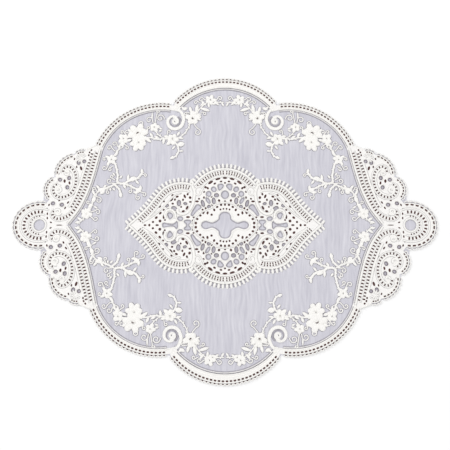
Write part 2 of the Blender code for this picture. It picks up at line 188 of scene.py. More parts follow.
# The two rows of slots of its ladder tape, the row of its scroll, and the short row in its corner
LADDER_NEAR = (
    (131.0, 76.5), (133.3, 70.3), (135.6, 60.5), (137.9, 51.5), (140.3, 42.5), (143.8, 33.2),
    (147.2, 25.5), (150.6, 18.8), (154.2, 13.2), (158.7, 9.2), (164.0, 6.9), (169.0, 6.4),
    (173.2, 8.6), (174.2, 12.0), (171.8, 15.2),
)
LADDER_FAR = (
    (136.6, 76.0), (137.7, 70.4), (139.2, 64.5), (141.2, 57.5), (143.3, 49.8), (145.0, 43.0),
    (147.5, 35.5), (150.2, 28.6), (153.2, 21.8), (156.2, 16.8),
)
SCROLL_ROW = (
    (165.6, 53.6), (165.4, 57.2), (163.8, 59.6), (161.4, 60.4), (158.4, 59.8), (155.4, 57.2),
    (153.1, 53.4), (152.0, 48.6), (152.0, 43.6), (153.0, 39.0), (155.2, 34.6), (158.8, 30.8),
    (163.8, 28.7), (169.4, 29.0), (173.4, 32.0), (174.8, 36.6), (173.4, 40.6), (169.8, 41.8),
)
CORNER_ROW = ((136.2, 79.6), (139.4, 75.6), (140.4, 70.6))
# The slots' pitch, length and width in these four rows
END_LADDERS = ((3.27, 3.2, 1.55), (3.25, 3.0, 1.55), (3.4, 2.6, 1.55), (3.4, 1.8, 2.2))
# The cord in its outer corner: its points, width and height
CORNER_CORD = ((133.6, 82.4), (137.6, 80.9), (141.8, 78.2))
CORNER_CORD_SIZE = (1.2, 1.0)
# Cords beside the inner edge (0) and the rows (1 to 3): distance to the right, first and last point,
# width, height and section
END_CORDS = (
    (0, -2.6, 0, None, 1.9, 0.95, {"full": 0.8}), (1, 2.25, 0, None, 1.0, 0.9, {}),
    (1, -2.4, 0, -16, 1.0, 0.95, {}), (2, -2.6, 13, None, 2.2, 1.0, PADDED),
    (3, 2.0, 0, None, 1.2, 1.0, {}), (3, -2.2, 0, None, 1.8, 1.0, PADDED),
)
# Spirals as centre X, centre Y, radius, turns, start angle, direction, eye, width and height
END_SPIRALS = (
    (162.0, 54.0, 3.0, 1.3, 60.0, 1, 0.9, 1.8, 1.0), (169.2, 36.6, 3.8, 1.4, 120.0, -1, 1.0, 2.3, 1.1),
    (169.0, 13.8, 3.6, 1.4, 200.0, 1, 1.0, 2.1, 1.0),
)
# The fan of ribs in the first lobe: centre, first and last distance from it, the ribs' angles, and
# their width and height
RIB_CENTRE = (147.6, 69.8)
RIB_REACH = (1.2, 5.4)
RIB_SIZE = (1.3, 0.9)
RIB_ANGLES = (-60.0, -25.0, 10.0, 45.0, 80.0, 115.0, 150.0)
# How far inside the inner edge its line and its close stitches begin, and how much smaller than the
# lobes the discs of close stitches are
END_LINE = 0.55
END_CLOTH_INSET = 1.35
DISC_INSET = 4.8
# The rings round its openings, as width, height and gap, and the rim of painted shade inside them
END_RING = (0.8, 0.9, 0.25)
END_OPENING_RIM = 1.7
# Slot length, slot width, pitch and margin along the lobes and along the tip's lobe
LOBE_SLOTS = (3.1, 1.9, 4.4, 1.2)
TIP_SLOTS = (4.1, 2.5, 6.0, 1.0)
# Rows of slots round the tip's hole, as radius along X and Y, last angle, pitch, length and width
TIP_LADDERS = ((15.6, 13.6, 106.0, 3.65, 3.4, 1.9), (9.2, 9.2, 100.0, 2.9, 1.5, 1.5))
# The ring round the hole: its radius, width and height
TIP_RING = 6.6
TIP_RING_SIZE = (1.7, 1.0)
# Cords round the rows, as radius along X and Y and width, their height and their last angle
TIP_CORDS = ((11.6, 11.0, 1.5), (19.2, 16.9, 1.6))
TIP_CORD_HIGH = 1.0
TIP_CORD_END = 118.0
# Openings of the lace end, as centre X, centre Y, width, height and turn
END_OPENINGS = (
    (168.4, 46.8, 4.6, 4.2, 20.0), (159.2, 48.6, 4.2, 4.8, 0.0), (160.6, 38.8, 4.2, 4.8, -30.0),
    (174.4, 22.2, 4.6, 4.2, -20.0), (165.4, 20.8, 4.8, 4.2, 0.0), (150.2, 64.6, 4.2, 4.8, -25.0),
    (144.4, 66.0, 4.2, 4.2, 0.0),
)
# Its small holes, in the same way
END_SMALL_HOLES = (
    (163.7, 45.4, 2.6, 3.9, -5.0), (158.6, 43.4, 2.2, 3.6, -15.0), (147.4, 58.8, 2.6, 4.8, -20.0),
    (159.2, 23.2, 1.8, 3.4, 40.0), (161.9, 17.6, 1.8, 3.1, 30.0), (180.4, 16.2, 1.7, 3.2, 10.0),
    (179.6, 11.6, 1.7, 3.0, 0.0), (179.4, 7.2, 1.7, 3.0, -8.0), (175.6, 2.8, 2.8, 1.5, 25.0),
    (167.0, 0.0, 7.0, 1.1, 0.0), (154.6, 68.6, 1.7, 2.6, 20.0), (170.2, 53.0, 1.8, 2.6, 10.0),
    (157.4, 35.0, 1.8, 2.6, 30.0), (168.2, 25.2, 2.6, 1.6, -20.0), (152.0, 60.2, 1.7, 2.8, -10.0),
    (153.2, 31.6, 1.6, 2.6, 30.0), (178.4, 20.6, 1.8, 2.8, 20.0),
)
# The hole in the round loop at its tip
LOOP_HOLE = (187.0, 0.0, 11.2, 11.2, 0.0)

# The medallion: its cord edge and its openings
MEDALLION_TOP = (0.0, 21.0, 38.2)
MEDALLION_NOTCH = (32.1, 41.6)
MEDALLION_SIDE = (
    MEDALLION_NOTCH, (36.6, 43.6), (42.2, 44.4), (48.6, 44.2), (56.0, 42.2), (63.2, 38.0),
    (70.0, 30.6), (77.4, 20.8), (85.4, 12.2), (92.2, 5.8), (99.0, 0.0),
)
# Beads outside the cord edge: their pitch, where they start and end, width, height, and how the width
# swells along them
BEAD_PITCH = 4.0
BEAD_REACH = (-0.3, 4.7)
BEAD_SIZE = (2.8, 1.2)
BEAD_SWELL = (0.74, 0.88, 0.98, 1.0, 1.0, 0.92, 0.62)
# The painted shade on the net below the beads: how far out its middle lies, and its width
BEAD_SHADE = (1.8, 3.6)
# Its ladder: how far in the slots lie, their length and width, and the thread along their middles
MEDALLION_LADDER = 4.9
MEDALLION_SLOT = (4.3, 1.4)
LADDER_THREAD = (0.6, 0.7)
# The slots' pitch and the margin at both ends of the row, on the top lobe and on the side lobe
MEDALLION_PITCHES = ((2.62, 0.5), (2.8, 1.6))
# Cords outside and inside the ladder: how far in, width, height, and lowest Y. The inner one ends a few
# points before the notch and the tip.
OUTER_CORD = (1.2, 2.1, 1.1, 0.0)
INNER_CORD = (8.5, 1.8, 1.05, 0.6)
INNER_CORD_SHORT = 3
LADDER_LOWEST = 2.6
# Cords between the openings, as width and points, and their height
MEDALLION_CORD_HIGH = 1.05
MEDALLION_CORDS = (
    (2.8, ((33.8, 41.9), (31.0, 34.0), (31.7, 26.0), (33.3, 20.2), (36.8, 14.4), (41.8, 11.4),
           (47.0, 12.6), (48.2, 16.6))),
    (2.2, ((50.2, 6.6), (50.4, 11.6), (53.6, 15.2), (58.2, 15.0), (60.6, 11.0), (59.6, 7.0))),
    (1.3, ((21.6, 34.6), (24.0, 39.0), (29.0, 38.4), (30.6, 34.0), (27.6, 30.6), (24.4, 32.6),
           (26.0, 35.4))),
    (1.3, ((44.2, 33.4), (50.6, 31.0), (57.0, 24.8), (63.6, 17.2), (71.6, 10.2), (80.4, 4.6))),
    (1.2, ((32.4, 0.0), (31.4, 5.0), (28.4, 9.0), (24.6, 12.6), (19.4, 15.4), (13.8, 17.6),
           (8.4, 21.6), (0.0, 23.4))),
)
# The rings round the openings, as width, height and gap: the cross's, and the others'
CROSS_RING = (1.7, 1.15, 0.2)
OPENING_RING = (0.9, 1.1, 0.0)
# How far the openings are drawn out all round, and how much wider and higher the small holes are made
OPENING_GROWTH = 0.3
SMALL_HOLE_GROWTH = 0.3
# The rim of dark painted shade inside a small opening, and the painted shade along a large one's
# edge, as how far in and width
MEDALLION_OPENING_RIM = 1.2
OPENING_SHADE = (0.3, 1.9)
# Openings smaller than this, in square millimetres, lie wholly in painted shade
SMALL_AREA = 24.0
# Points round a quarter of the cross, and the oval openings of the top lobe and of the side lobe, as
# centre X, centre Y, width, height and turn
CROSS_QUARTER = (
    (23.8, 0.0), (22.5, 2.8), (19.4, 3.9), (16.2, 3.2), (13.4, 2.3), (10.8, 3.0), (8.2, 4.6),
    (6.2, 6.4), (5.8, 9.4), (3.7, 12.4), (0.0, 13.4),
)
FAN_OPENINGS = (
    (0.0, 31.2, 7.8, 8.4, 0.0), (11.4, 36.8, 5.8, 5.0, 40.0), (16.6, 32.0, 5.4, 5.8, 5.0),
    (8.6, 30.6, 4.6, 3.8, 0.0), (11.4, 24.8, 3.4, 6.4, -6.0), (17.2, 25.2, 3.4, 7.4, -32.0),
    (22.4, 22.2, 3.2, 7.0, -18.0), (16.2, 18.8, 3.4, 3.2, 0.0),
)
SIDE_OPENINGS = (
    (45.2, 6.6, 5.8, 4.4, 10.0), (46.7, 22.6, 3.8, 5.8, 0.0), (51.4, 17.0, 5.8, 4.0, 25.0),
    (40.2, 22.0, 3.6, 2.4, 15.0), (58.9, 19.9, 3.6, 3.0, -30.0),
)
# Points round the openings that aren't ovals: three that lie in one quarter, and half of two that lie
# across the centre line along X
FAN_WEDGE = (
    (1.2, 40.4), (3.2, 42.4), (6.8, 41.8), (7.4, 39.4), (6.2, 35.8), (4.8, 36.0), (2.9, 37.8),
)
SIDE_WEDGE = (
    (24.0, 17.8), (25.4, 20.4), (28.6, 21.0), (31.2, 17.6), (34.4, 11.0), (32.6, 9.4),
    (29.2, 13.4), (26.4, 15.8),
)
SIDE_DROP = ((52.6, 9.0), (53.6, 11.8), (56.8, 12.9), (58.3, 10.8), (55.8, 6.0))
HOURGLASS = (
    (38.9, 0.0), (39.4, 1.4), (41.2, 2.9), (40.6, 4.8), (37.6, 5.3), (34.4, 4.6), (34.2, 2.8),
    (36.0, 0.8),
)
BOW = (
    (63.2, 0.0), (62.0, 2.3), (58.0, 1.6), (54.0, 1.2), (51.2, 1.7), (48.6, 3.9), (47.6, 1.8),
)
# Its small holes, in the same way as the oval openings
MEDALLION_SMALL_HOLES = (
    (0.0, 48.6, 4.6, 1.9, 0.0), (7.2, 47.6, 5.2, 2.1, -16.0), (14.7, 44.0, 5.8, 2.3, -35.0),
    (0.0, 43.5, 1.9, 1.7, 0.0), (19.9, 39.0, 2.4, 2.4, 0.0), (0.0, 24.4, 2.0, 1.8, 0.0),
    (6.0, 25.2, 2.2, 2.6, -20.0), (0.0, 21.0, 2.0, 2.5, 0.0), (4.0, 20.8, 2.2, 2.5, 0.0),
    (7.9, 18.6, 2.5, 2.0, -30.0), (1.6, 16.6, 1.6, 1.8, 0.0), (4.6, 16.0, 1.7, 1.9, 0.0),
    (10.9, 15.6, 2.0, 2.8, -20.0), (13.5, 10.6, 2.2, 2.2, 0.0), (17.6, 12.5, 2.0, 3.2, 10.0),
    (21.7, 12.7, 1.9, 3.2, 25.0), (24.9, 9.8, 2.3, 2.1, 0.0), (28.0, 6.2, 2.4, 2.1, 0.0),
    (28.4, 24.3, 3.6, 1.9, 0.0), (29.4, 2.1, 2.4, 2.8, 0.0), (35.4, 28.2, 2.5, 2.8, -30.0),
    (40.9, 29.5, 2.0, 4.1, -25.0), (35.2, 23.8, 2.5, 1.7, 0.0), (38.4, 17.7, 2.1, 4.4, 30.0),
    (42.2, 14.2, 3.2, 2.0, -15.0), (37.4, 8.2, 3.9, 1.9, 0.0), (48.6, 29.2, 3.0, 2.0, -20.0),
    (54.2, 26.2, 2.2, 4.6, 40.0), (53.0, 22.0, 2.4, 1.8, 0.0), (62.0, 24.2, 2.0, 1.7, 0.0),
    (66.1, 19.0, 2.8, 2.0, -40.0), (61.9, 8.4, 1.9, 4.4, 0.0), (65.4, 12.2, 3.2, 2.0, -45.0),
    (69.4, 7.6, 3.1, 2.2, -40.0), (72.6, 3.2, 2.2, 2.1, 0.0), (76.2, 0.0, 2.0, 2.6, 0.0),
    (68.4, 0.0, 3.4, 1.7, 0.0), (65.6, 4.2, 2.8, 2.8, 0.0), (71.6, 13.8, 2.6, 1.9, -45.0),
    (80.6, 0.0, 2.6, 1.7, 0.0), (77.0, 6.6, 2.4, 1.7, -40.0), (82.4, 3.0, 2.6, 1.7, -30.0),
    (4.0, 45.0, 2.6, 1.6, -10.0), (10.4, 42.8, 2.8, 1.8, -30.0), (17.6, 38.0, 2.0, 2.6, -40.0),
    (21.4, 34.4, 1.8, 2.4, 0.0), (13.6, 29.0, 1.8, 1.9, 0.0), (21.2, 28.2, 2.0, 2.6, -20.0),
    (26.4, 27.0, 1.9, 1.8, 0.0), (13.6, 20.2, 2.0, 1.8, 0.0), (19.6, 17.2, 1.8, 2.2, 0.0),
    (22.6, 15.8, 1.8, 1.8, 0.0), (31.8, 8.2, 1.7, 2.2, -20.0),
    (32.4, 4.6, 1.7, 2.2, 0.0), (32.6, 1.4, 1.6, 1.9, 0.0), (42.6, 26.0, 1.8, 2.4, 0.0),
    (50.8, 26.2, 1.9, 2.4, 20.0), (44.4, 18.6, 1.6, 1.8, 0.0), (57.6, 16.2, 2.0, 1.7, 0.0),
    (49.8, 12.6, 1.8, 2.2, 0.0), (62.0, 15.6, 2.2, 1.6, -40.0), (60.6, 5.2, 2.0, 1.6, 0.0),
    (38.0, 31.8, 1.8, 2.6, 20.0), (45.6, 32.6, 2.6, 1.7, 0.0), (53.4, 30.8, 2.4, 1.7, -30.0),
)

# The flower spray: stems as width and points
SPRAY_STEMS = (
    (1.3, ((0.8, 129.8), (6.0, 129.6), (13.0, 131.4))),
    (1.4, ((15.5, 131.0), (20.0, 128.6), (25.0, 124.0), (28.0, 120.0), (33.6, 112.2))),
    (1.5, ((36.0, 109.0), (38.0, 102.0), (43.3, 94.6), (49.6, 90.6), (54.1, 90.1))),
    (1.9, ((54.1, 90.1), (62.2, 90.6), (69.4, 89.6), (75.7, 91.2), (84.0, 91.6))),
    (1.4, ((64.9, 91.3), (68.6, 94.4), (71.2, 97.4), (73.0, 101.6))),
    (2.0, ((53.0, 88.4), (48.8, 82.5), (47.9, 77.0), (50.6, 71.8), (55.1, 69.8))),
    (1.7, ((97.0, 92.0), (102.0, 91.0), (106.5, 86.0), (110.0, 78.4), (115.5, 70.0))),
    (2.3, ((116.0, 69.0), (112.3, 62.4), (110.7, 56.1), (109.7, 49.8), (110.4, 43.6))),
    (2.5, ((110.4, 43.6), (103.0, 42.8), (99.0, 45.2), (91.9, 47.3), (88.3, 49.5), (85.3, 53.4),
           (85.0, 56.4))),
    (2.1, ((103.0, 42.6), (97.0, 40.6), (93.9, 39.0), (88.6, 36.2))),
    (2.0, ((110.4, 43.0), (114.0, 41.2), (119.2, 38.8), (125.7, 36.4))),
    (2.2, ((113.0, 41.4), (109.4, 39.0), (106.6, 34.4), (106.1, 30.2))),
    (1.7, ((126.6, 36.2), (132.4, 30.6), (134.2, 23.5), (136.1, 17.4), (140.0, 11.3))),
    (1.5, ((140.0, 11.3), (143.9, 5.6), (149.0, 1.4))),
)
# Flowers as centre X, centre Y, petal count, radius, petal width, turn and radius of the eye of painted
# shade
SPRAY_FLOWERS = (
    (15.2, 132.2, 5, 5.6, 4.4, 20.0, 0.0), (33.6, 112.2, 5, 7.4, 6.2, 0.0, 1.0),
    (54.1, 90.1, 5, 6.0, 4.8, 30.0, 0.8), (73.2, 102.6, 5, 5.2, 4.4, 10.0, 0.0),
    (90.1, 95.8, 6, 10.0, 7.0, 18.0, 1.5), (89.2, 86.4, 7, 9.0, 6.0, 0.0, 0.0),
    (105.0, 90.4, 4, 5.6, 5.4, 45.0, 0.0), (116.6, 68.0, 5, 5.2, 4.4, 0.0, 0.0),
    (140.2, 11.4, 5, 5.8, 4.6, 25.0, 0.0),
)
# Leaves and buds as centre X, centre Y, length, width and turn
SPRAY_LEAVES = (
    (20.5, 121.8, 10.0, 3.6, 17.0), (29.4, 123.0, 9.0, 3.8, -77.0), (35.9, 121.6, 7.5, 3.4, 75.0),
    (41.8, 122.6, 5.8, 3.8, -26.0), (43.6, 123.2, 4.4, 2.6, 40.0), (27.6, 116.2, 6.4, 2.6, -17.0),
    (24.2, 127.2, 4.6, 2.2, -40.0), (8.0, 128.0, 4.4, 2.4, 30.0), (26.6, 111.0, 4.4, 2.2, 20.0),
    (45.6, 84.4, 7.6, 5.6, -10.0), (45.2, 90.8, 5.0, 2.2, 0.0), (57.8, 86.0, 6.8, 4.4, -40.0),
    (60.6, 92.6, 5.8, 3.0, 10.0), (63.4, 87.6, 6.6, 3.2, -80.0), (79.2, 88.8, 7.8, 3.6, 36.0),
    (70.6, 91.8, 5.4, 3.0, 30.0), (44.8, 77.2, 3.8, 2.2, 0.0), (53.0, 80.8, 5.2, 2.4, -50.0),
    (54.2, 70.0, 5.2, 3.2, -20.0), (66.6, 101.2, 3.8, 2.4, 20.0), (67.0, 98.6, 3.6, 2.2, -20.0),
    (75.8, 115.0, 7.8, 1.9, 90.0), (82.0, 90.6, 7.4, 4.4, 15.0), (84.0, 99.6, 6.0, 3.2, 40.0),
    (99.0, 49.0, 6.8, 3.0, 95.0), (94.4, 48.2, 7.4, 4.2, -20.0), (102.4, 39.8, 5.2, 2.8, 60.0),
    (89.6, 44.4, 5.2, 2.6, 50.0), (85.0, 55.8, 5.0, 3.4, 80.0), (88.0, 35.8, 7.2, 5.2, -45.0),
    (86.0, 38.4, 5.4, 3.0, -100.0), (91.0, 33.6, 5.4, 3.0, 10.0), (106.2, 31.2, 6.0, 3.8, 80.0),
    (113.2, 37.0, 3.8, 2.4, 45.0), (116.8, 36.8, 3.6, 2.2, 80.0), (125.8, 36.2, 7.6, 5.0, 0.0),
    (124.8, 33.6, 5.4, 3.6, -20.0), (122.4, 39.8, 5.0, 2.6, 130.0), (129.4, 39.0, 5.6, 2.8, 50.0),
    (133.8, 33.6, 6.6, 2.8, 65.0), (133.2, 26.4, 6.8, 4.4, -70.0), (136.8, 19.4, 6.6, 3.6, -60.0),
    (131.0, 18.2, 4.8, 2.2, 30.0), (142.8, 12.4, 5.6, 3.2, 20.0), (140.6, 15.6, 5.2, 2.6, 60.0),
    (146.8, 6.4, 5.6, 2.8, 30.0), (149.2, 3.0, 5.0, 2.4, -20.0), (111.6, 74.4, 6.6, 2.8, -62.0),
    (120.6, 70.8, 5.6, 3.0, 25.0), (119.4, 64.4, 6.2, 3.2, -50.0), (106.4, 49.8, 4.4, 2.4, 130.0),
    (113.6, 52.6, 4.2, 2.0, 50.0), (99.0, 88.6, 5.0, 3.2, -20.0), (98.4, 98.8, 5.2, 3.0, 40.0),
    (2.4, 127.4, 4.8, 2.4, 60.0), (105.4, 84.6, 6.4, 3.8, -75.0), (10.4, 128.8, 5.4, 3.0, -35.0),
    (17.0, 126.6, 5.4, 2.8, 80.0), (22.8, 129.2, 5.2, 2.8, 50.0), (30.6, 118.4, 5.0, 2.8, 150.0),
    (48.2, 95.6, 5.4, 2.8, -60.0), (76.2, 94.2, 5.6, 3.0, 60.0),
)
# Curled tendrils as start X, start Y, coil centre X, coil centre Y, coil radius and turn direction
SPRAY_TENDRILS = (
    (32.3, 106.0, 28.5, 97.4, 3.6, 1), (62.6, 111.0, 67.2, 112.4, 3.8, -1),
    (74.6, 107.0, 78.8, 110.4, 3.6, -1), (104.8, 86.2, 107.6, 82.4, 2.8, 1),
    (109.8, 80.6, 114.0, 84.6, 2.6, -1), (113.0, 76.6, 119.2, 80.6, 2.6, -1),
    (119.0, 63.0, 123.6, 59.4, 2.6, 1), (112.0, 43.0, 118.0, 45.6, 2.8, 1),
    (133.4, 31.0, 128.4, 25.6, 3.2, 1), (86.6, 34.4, 82.2, 31.4, 2.2, 1),
    (90.4, 33.0, 88.4, 28.4, 2.4, -1), (19.0, 131.6, 24.8, 132.6, 2.6, -1),
    (26.0, 129.4, 30.4, 129.6, 2.0, -1), (10.0, 131.0, 5.2, 134.0, 2.4, 1),
    (136.0, 13.4, 128.8, 13.4, 2.8, 1), (137.0, 9.6, 130.6, 6.8, 2.4, -1),
    (135.0, 21.0, 138.8, 23.6, 1.8, 1), (88.6, 103.4, 87.0, 106.6, 2.6, 1),
    (115.2, 61.0, 117.6, 57.6, 1.9, -1), (29.4, 111.6, 26.4, 113.8, 1.9, 1),
    (97.4, 94.2, 101.4, 97.6, 2.2, -1), (112.2, 46.4, 115.4, 50.4, 1.9, 1),
    (104.4, 85.0, 101.2, 80.6, 2.0, 1), (120.8, 71.6, 124.0, 68.6, 1.7, -1),
    (36.4, 118.0, 40.8, 117.0, 1.8, -1), (25.2, 119.0, 21.4, 117.2, 1.8, 1),
    (80.0, 98.0, 79.2, 101.8, 1.8, 1), (60.0, 94.0, 57.8, 98.0, 1.8, 1),
    (86.0, 52.0, 81.6, 51.4, 1.7, 1), (96.0, 39.4, 96.6, 34.8, 1.9, 1),
    (118.8, 38.2, 119.2, 33.8, 1.8, -1), (101.0, 93.0, 106.4, 97.2, 2.0, -1),
    (72.8, 106.8, 69.4, 119.4, 1.7, 1), (130.2, 34.6, 133.6, 37.4, 1.8, -1),
)
# A tendril's width and height
TENDRIL_SIZE = (1.25, 0.95)
# A coil's first and last angle from where the tendril meets it, the share of its radius that is left
# at its end, and its points
COIL_SPAN = (30.0, 400.0)
COIL_END = 0.35
COIL_STEPS = 22
STEM_HIGH = 0.92
# Each stem is a little higher than the last, so that no two surfaces lie at the same height
STEM_RISE = 0.02
# A petal's padding: its height, its middle crease, and how full its outline is
PETAL_HIGH = 1.3
PETAL_CREASE = 0.16
PETAL_FULL = 0.75
FLOWER_PETAL_FULL = 0.55
# The shares of half a turn where its sine begins, and ends on a leaf and on a flower's petal
PETAL_ROOT = 0.05
LEAF_TIP = 0.96
FLOWER_TIP = 0.88
# A flower's petals, and the narrow ones between them: their share of the radius and of the width
PETAL_SHARES = ((1.0, 0.97), (0.7, 0.45))
# How much the petals' length varies, and where they start: past an eye of painted shade, or as a share
# of the radius
PETAL_VARIES = 0.12
EYE_GAP = 0.3
PETAL_START = 0.1
# The ring or knot in a flower's middle: its width and height, how far outside the eye the ring lies,
# and the knot's radius
KNOT_SIZE = (0.9, 1.5)
RING_GAP = 0.5
KNOT_RADIUS = 0.9
# Small leaves along a stem: pitch, margin, length, width and height, how much of each runs along the
# stem and how much away from it, and how the width swells
SPRIG_PITCH = 3.1
SPRIG_MARGIN = 1.2
SPRIG_SIZE = (2.5, 1.25, 0.9)
SPRIG_SLANT = (0.64, 0.77)
SPRIG_SWELL = (0.7, 1.0, 1.0, 0.8, 0.4)

# Deep and bright colours of the thread, the close stitches and the net
THREAD_COLOURS = ((0.88, 0.862, 0.83, 1.0), (0.96, 0.948, 0.925, 1.0))
CLOTH_COLOURS = ((0.80, 0.785, 0.77, 1.0), (0.96, 0.945, 0.925, 1.0))
NET_COLOURS = ((0.505, 0.497, 0.56, 1.0), (0.66, 0.652, 0.705, 1.0))
# The painted shades, in the order of their material slots: name, scale of the unevenness and the two
# colours
GROUND_FINISHES = (
    ("painted_slot_shade", 90.0, (0.055, 0.025, 0.022, 1.0), (0.16, 0.09, 0.085, 1.0)),
    ("painted_faint_shade", 300.0, (0.28, 0.265, 0.30, 1.0), (0.56, 0.545, 0.60, 1.0)),
    ("painted_dusk_shade", 300.0, (0.16, 0.135, 0.155, 1.0), (0.30, 0.27, 0.30, 1.0)),
    ("painted_cord_shade", 300.0, (0.56, 0.545, 0.545, 1.0), (0.80, 0.785, 0.78, 1.0)),
)
# Ridges of the satin stitches, in radians for each millimetre along and across a cord, and how far an
# uneven spot moves them
STITCH_WAVE = 14.0
STITCH_SLANT = 3.0
STITCH_WANDER = 5.0
# Ridges of the close stitches and threads of the net, in radians for each metre
CLOTH_WAVES = (9000.0, 5200.0)
NET_WAVE = 5200.0
# How far the net's streaks sway, in metres, and how much longer they are than wide
STREAK_SWAY = 0.010
STREAK_STRETCH = 0.09

# The floor's half width in metres and its colour
FLOOR_REACH = 3.0
FLOOR_COLOUR = (0.93, 0.93, 0.93, 1.0)
# The soft lights: place and size in metres, and power in watts
SOFT_LIGHTS = (
    ("soft_light_left", (-0.9, 0.7, 1.1), 1.2, 9.0),
    ("soft_light_right", (1.0, -0.5, 1.3), 1.4, 5.0),
)
AIR_STRENGTH = 0.8
# The camera's height angle, its distance in metres, and the mat's share of the picture's width
CAMERA_ELEVATION = 81.9
CAMERA_DISTANCE = 0.486
MAT_SHARE = 0.95


class Work:
    """Cloth and thread that become one mesh. Each corner has a place, and how far along and across
    its thread it lies. Each block of faces has a finish, and is shaded round or flat."""

    def __init__(self):
        self.corners, self.thread, self.faces, self.finish, self.rounded = [], [], [], [], []
        self.count = 0

    def add(self, corners, thread, faces, finish=THREAD, rounded=True):
        """Adds corners as rows of X, Y and Z, their thread places, and arrays of faces."""
        corners = np.reshape(corners, (-1, 3))
        self.corners.append(corners)
        self.thread.append(np.reshape(thread, (-1, 2)))
        for block in faces:
            self.faces.append(np.asarray(block) + self.count)
            self.finish.append(finish)
            self.rounded.append(rounded)
        self.count += len(corners)

    def join(self, other, x=1, y=1):
        """Adds the other work with its X or Y mirrored where -1 is given, its faces still outwards."""
        for block in other.faces:
            self.faces.append((block[:, ::-1] if x * y < 0 else block) + self.count)
        self.finish += other.finish
        self.rounded += other.rounded
        self.corners += [c * (x, y, 1) for c in other.corners]
        self.thread += other.thread
        self.count += other.count

    def piece(self, name, materials):
        """The object of everything added, with its thread places as its UV map."""
        mesh = bpy.data.meshes.new(name)
        faces = [face for block in self.faces for face in block.tolist()]
        mesh.from_pydata((np.vstack(self.corners) * METRES_PER_MM).tolist(), [], faces)
        sizes = [len(block) for block in self.faces]
        mesh.polygons.foreach_set("material_index", np.repeat(self.finish, sizes).astype(np.int32))
        mesh.polygons.foreach_set("use_smooth", np.repeat(self.rounded, sizes))
        corner = np.empty(len(mesh.loops), np.int32)
        mesh.loops.foreach_get("vertex_index", corner)
        layer = mesh.uv_layers.new(name="thread")
        layer.uv.foreach_set("vector", np.vstack(self.thread)[corner].astype(np.float32).ravel())
        for material in materials:
            mesh.materials.append(material)
        mesh.update()
        made = bpy.data.objects.new(name, mesh)
        bpy.context.scene.collection.objects.link(made)
        return made


def evenly(path, step):
    """The path with its points an even step apart, by length."""
    path = np.asarray(path, float)
    length = np.concatenate([[0.0], np.cumsum(np.linalg.norm(np.diff(path, axis=0), axis=1))])
    at = np.linspace(0.0, length[-1], max(int(round(length[-1] / step)), 1) + 1)
    return np.stack([np.interp(at, length, path[:, i]) for i in range(2)], axis=1)


def curve(points, step=CURVE_STEP, closed=False):
    """A smooth curve through the points: each span is the cubic whose ends have the mean slope. A
    closed one comes back to its first point, which isn't repeated."""
    p = np.asarray(points, float)
    ends = (p[-1:], p[:2]) if closed else (2 * p[:1] - p[1:2], 2 * p[-1:] - p[-2:-1])
    p = np.vstack([ends[0], p, ends[1]])
    a, b, c, d = p[:-3, None], p[1:-2, None], p[2:-1, None], p[3:, None]
    t = np.linspace(0.0, 1.0, SPAN_POINTS, endpoint=False)[None, :, None]
    square, cube = 2 * a - 5 * b + 4 * c - d, 3 * b - a - 3 * c + d
    spans = 0.5 * (2 * b + (c - a) * t + square * t**2 + cube * t**3)
    path = evenly(np.vstack([spans.reshape(-1, 2), p[-2:-1]]), step)
    return path[:-1] if closed else path


def arc(x, y, radius_x, radius_y, start, end, step=1.0):
    """Points an even step apart on an oval's stretch, which runs from one angle to the other."""
    length = abs(np.radians(end - start)) * max(radius_x, radius_y)
    count = max(int(np.ceil(length / step)), 2) + 1
    angle = np.radians(np.linspace(start, end, count))
    return np.stack([x + radius_x * np.cos(angle), y + radius_y * np.sin(angle)], axis=1)


def lobe(circle, start, end, inset=0.0):
    """The stretch of a circle from one angle to the other, drawn in by the inset."""
    x, y, radius = circle
    return arc(x, y, radius - inset, radius - inset, start, end)


def heading(path, closed=False):
    """The unit direction of a path at each of its points."""
    path = np.asarray(path, float)
    along = np.roll(path, -1, -2) - np.roll(path, 1, -2) if closed else np.gradient(path, axis=-2)
    return along / np.maximum(np.linalg.norm(along, axis=-1, keepdims=True), 1e-6)


def right_of(along):
    """Each direction turned a quarter clockwise."""
    return np.stack([along[..., 1], -along[..., 0]], axis=-1)


def beside(path, distance, closed=False):
    """The path moved to its right by the distance."""
    return path + right_of(heading(path, closed)) * distance


def above(path, low):
    """The points of a path that lie further than that from the centre line along X."""
    return path[path[:, 1] > low]


def places(path, pitch, margin=0.0):
    """Points at an even pitch on a path, clear of its ends by the margin, and the direction there."""
    path = np.asarray(path, float)
    length = np.concatenate([[0.0], np.cumsum(np.linalg.norm(np.diff(path, axis=0), axis=1))])
    room = length[-1] - 2 * margin
    count = max(int(round(room / pitch)), 1)
    at = margin + (np.arange(count) + 0.5) * room / count
    along = heading(path)
    point = np.stack([np.interp(at, length, path[:, i]) for i in range(2)], axis=1)
    way = np.stack([np.interp(at, length, along[:, i]) for i in range(2)], axis=1)
    return point, way / np.linalg.norm(way, axis=1, keepdims=True)


def ovals(point, way, length, width, sides=8, square=1.0):
    """Ovals round the points, each as long along its direction and as wide across it as said. A
    square of less than 1 fills their corners."""
    angle = (np.arange(sides) + 0.5) * 2.0 * np.pi / sides
    along, across = (np.sign(wave) * np.abs(wave) ** square for wave in (np.cos(angle), np.sin(angle)))
    point, way = np.asarray(point, float)[:, None], np.asarray(way, float)[:, None]
    return point + way * 0.5 * length * along[:, None] - right_of(way) * 0.5 * width * across[:, None]


def oval(x, y, width, height, turn=0.0, sides=10):
    """One oval of a full width and height, turned about its centre."""
    way = (np.cos(np.radians(turn)), np.sin(np.radians(turn)))
    return ovals([(x, y)], [way], width, height, sides)[0]


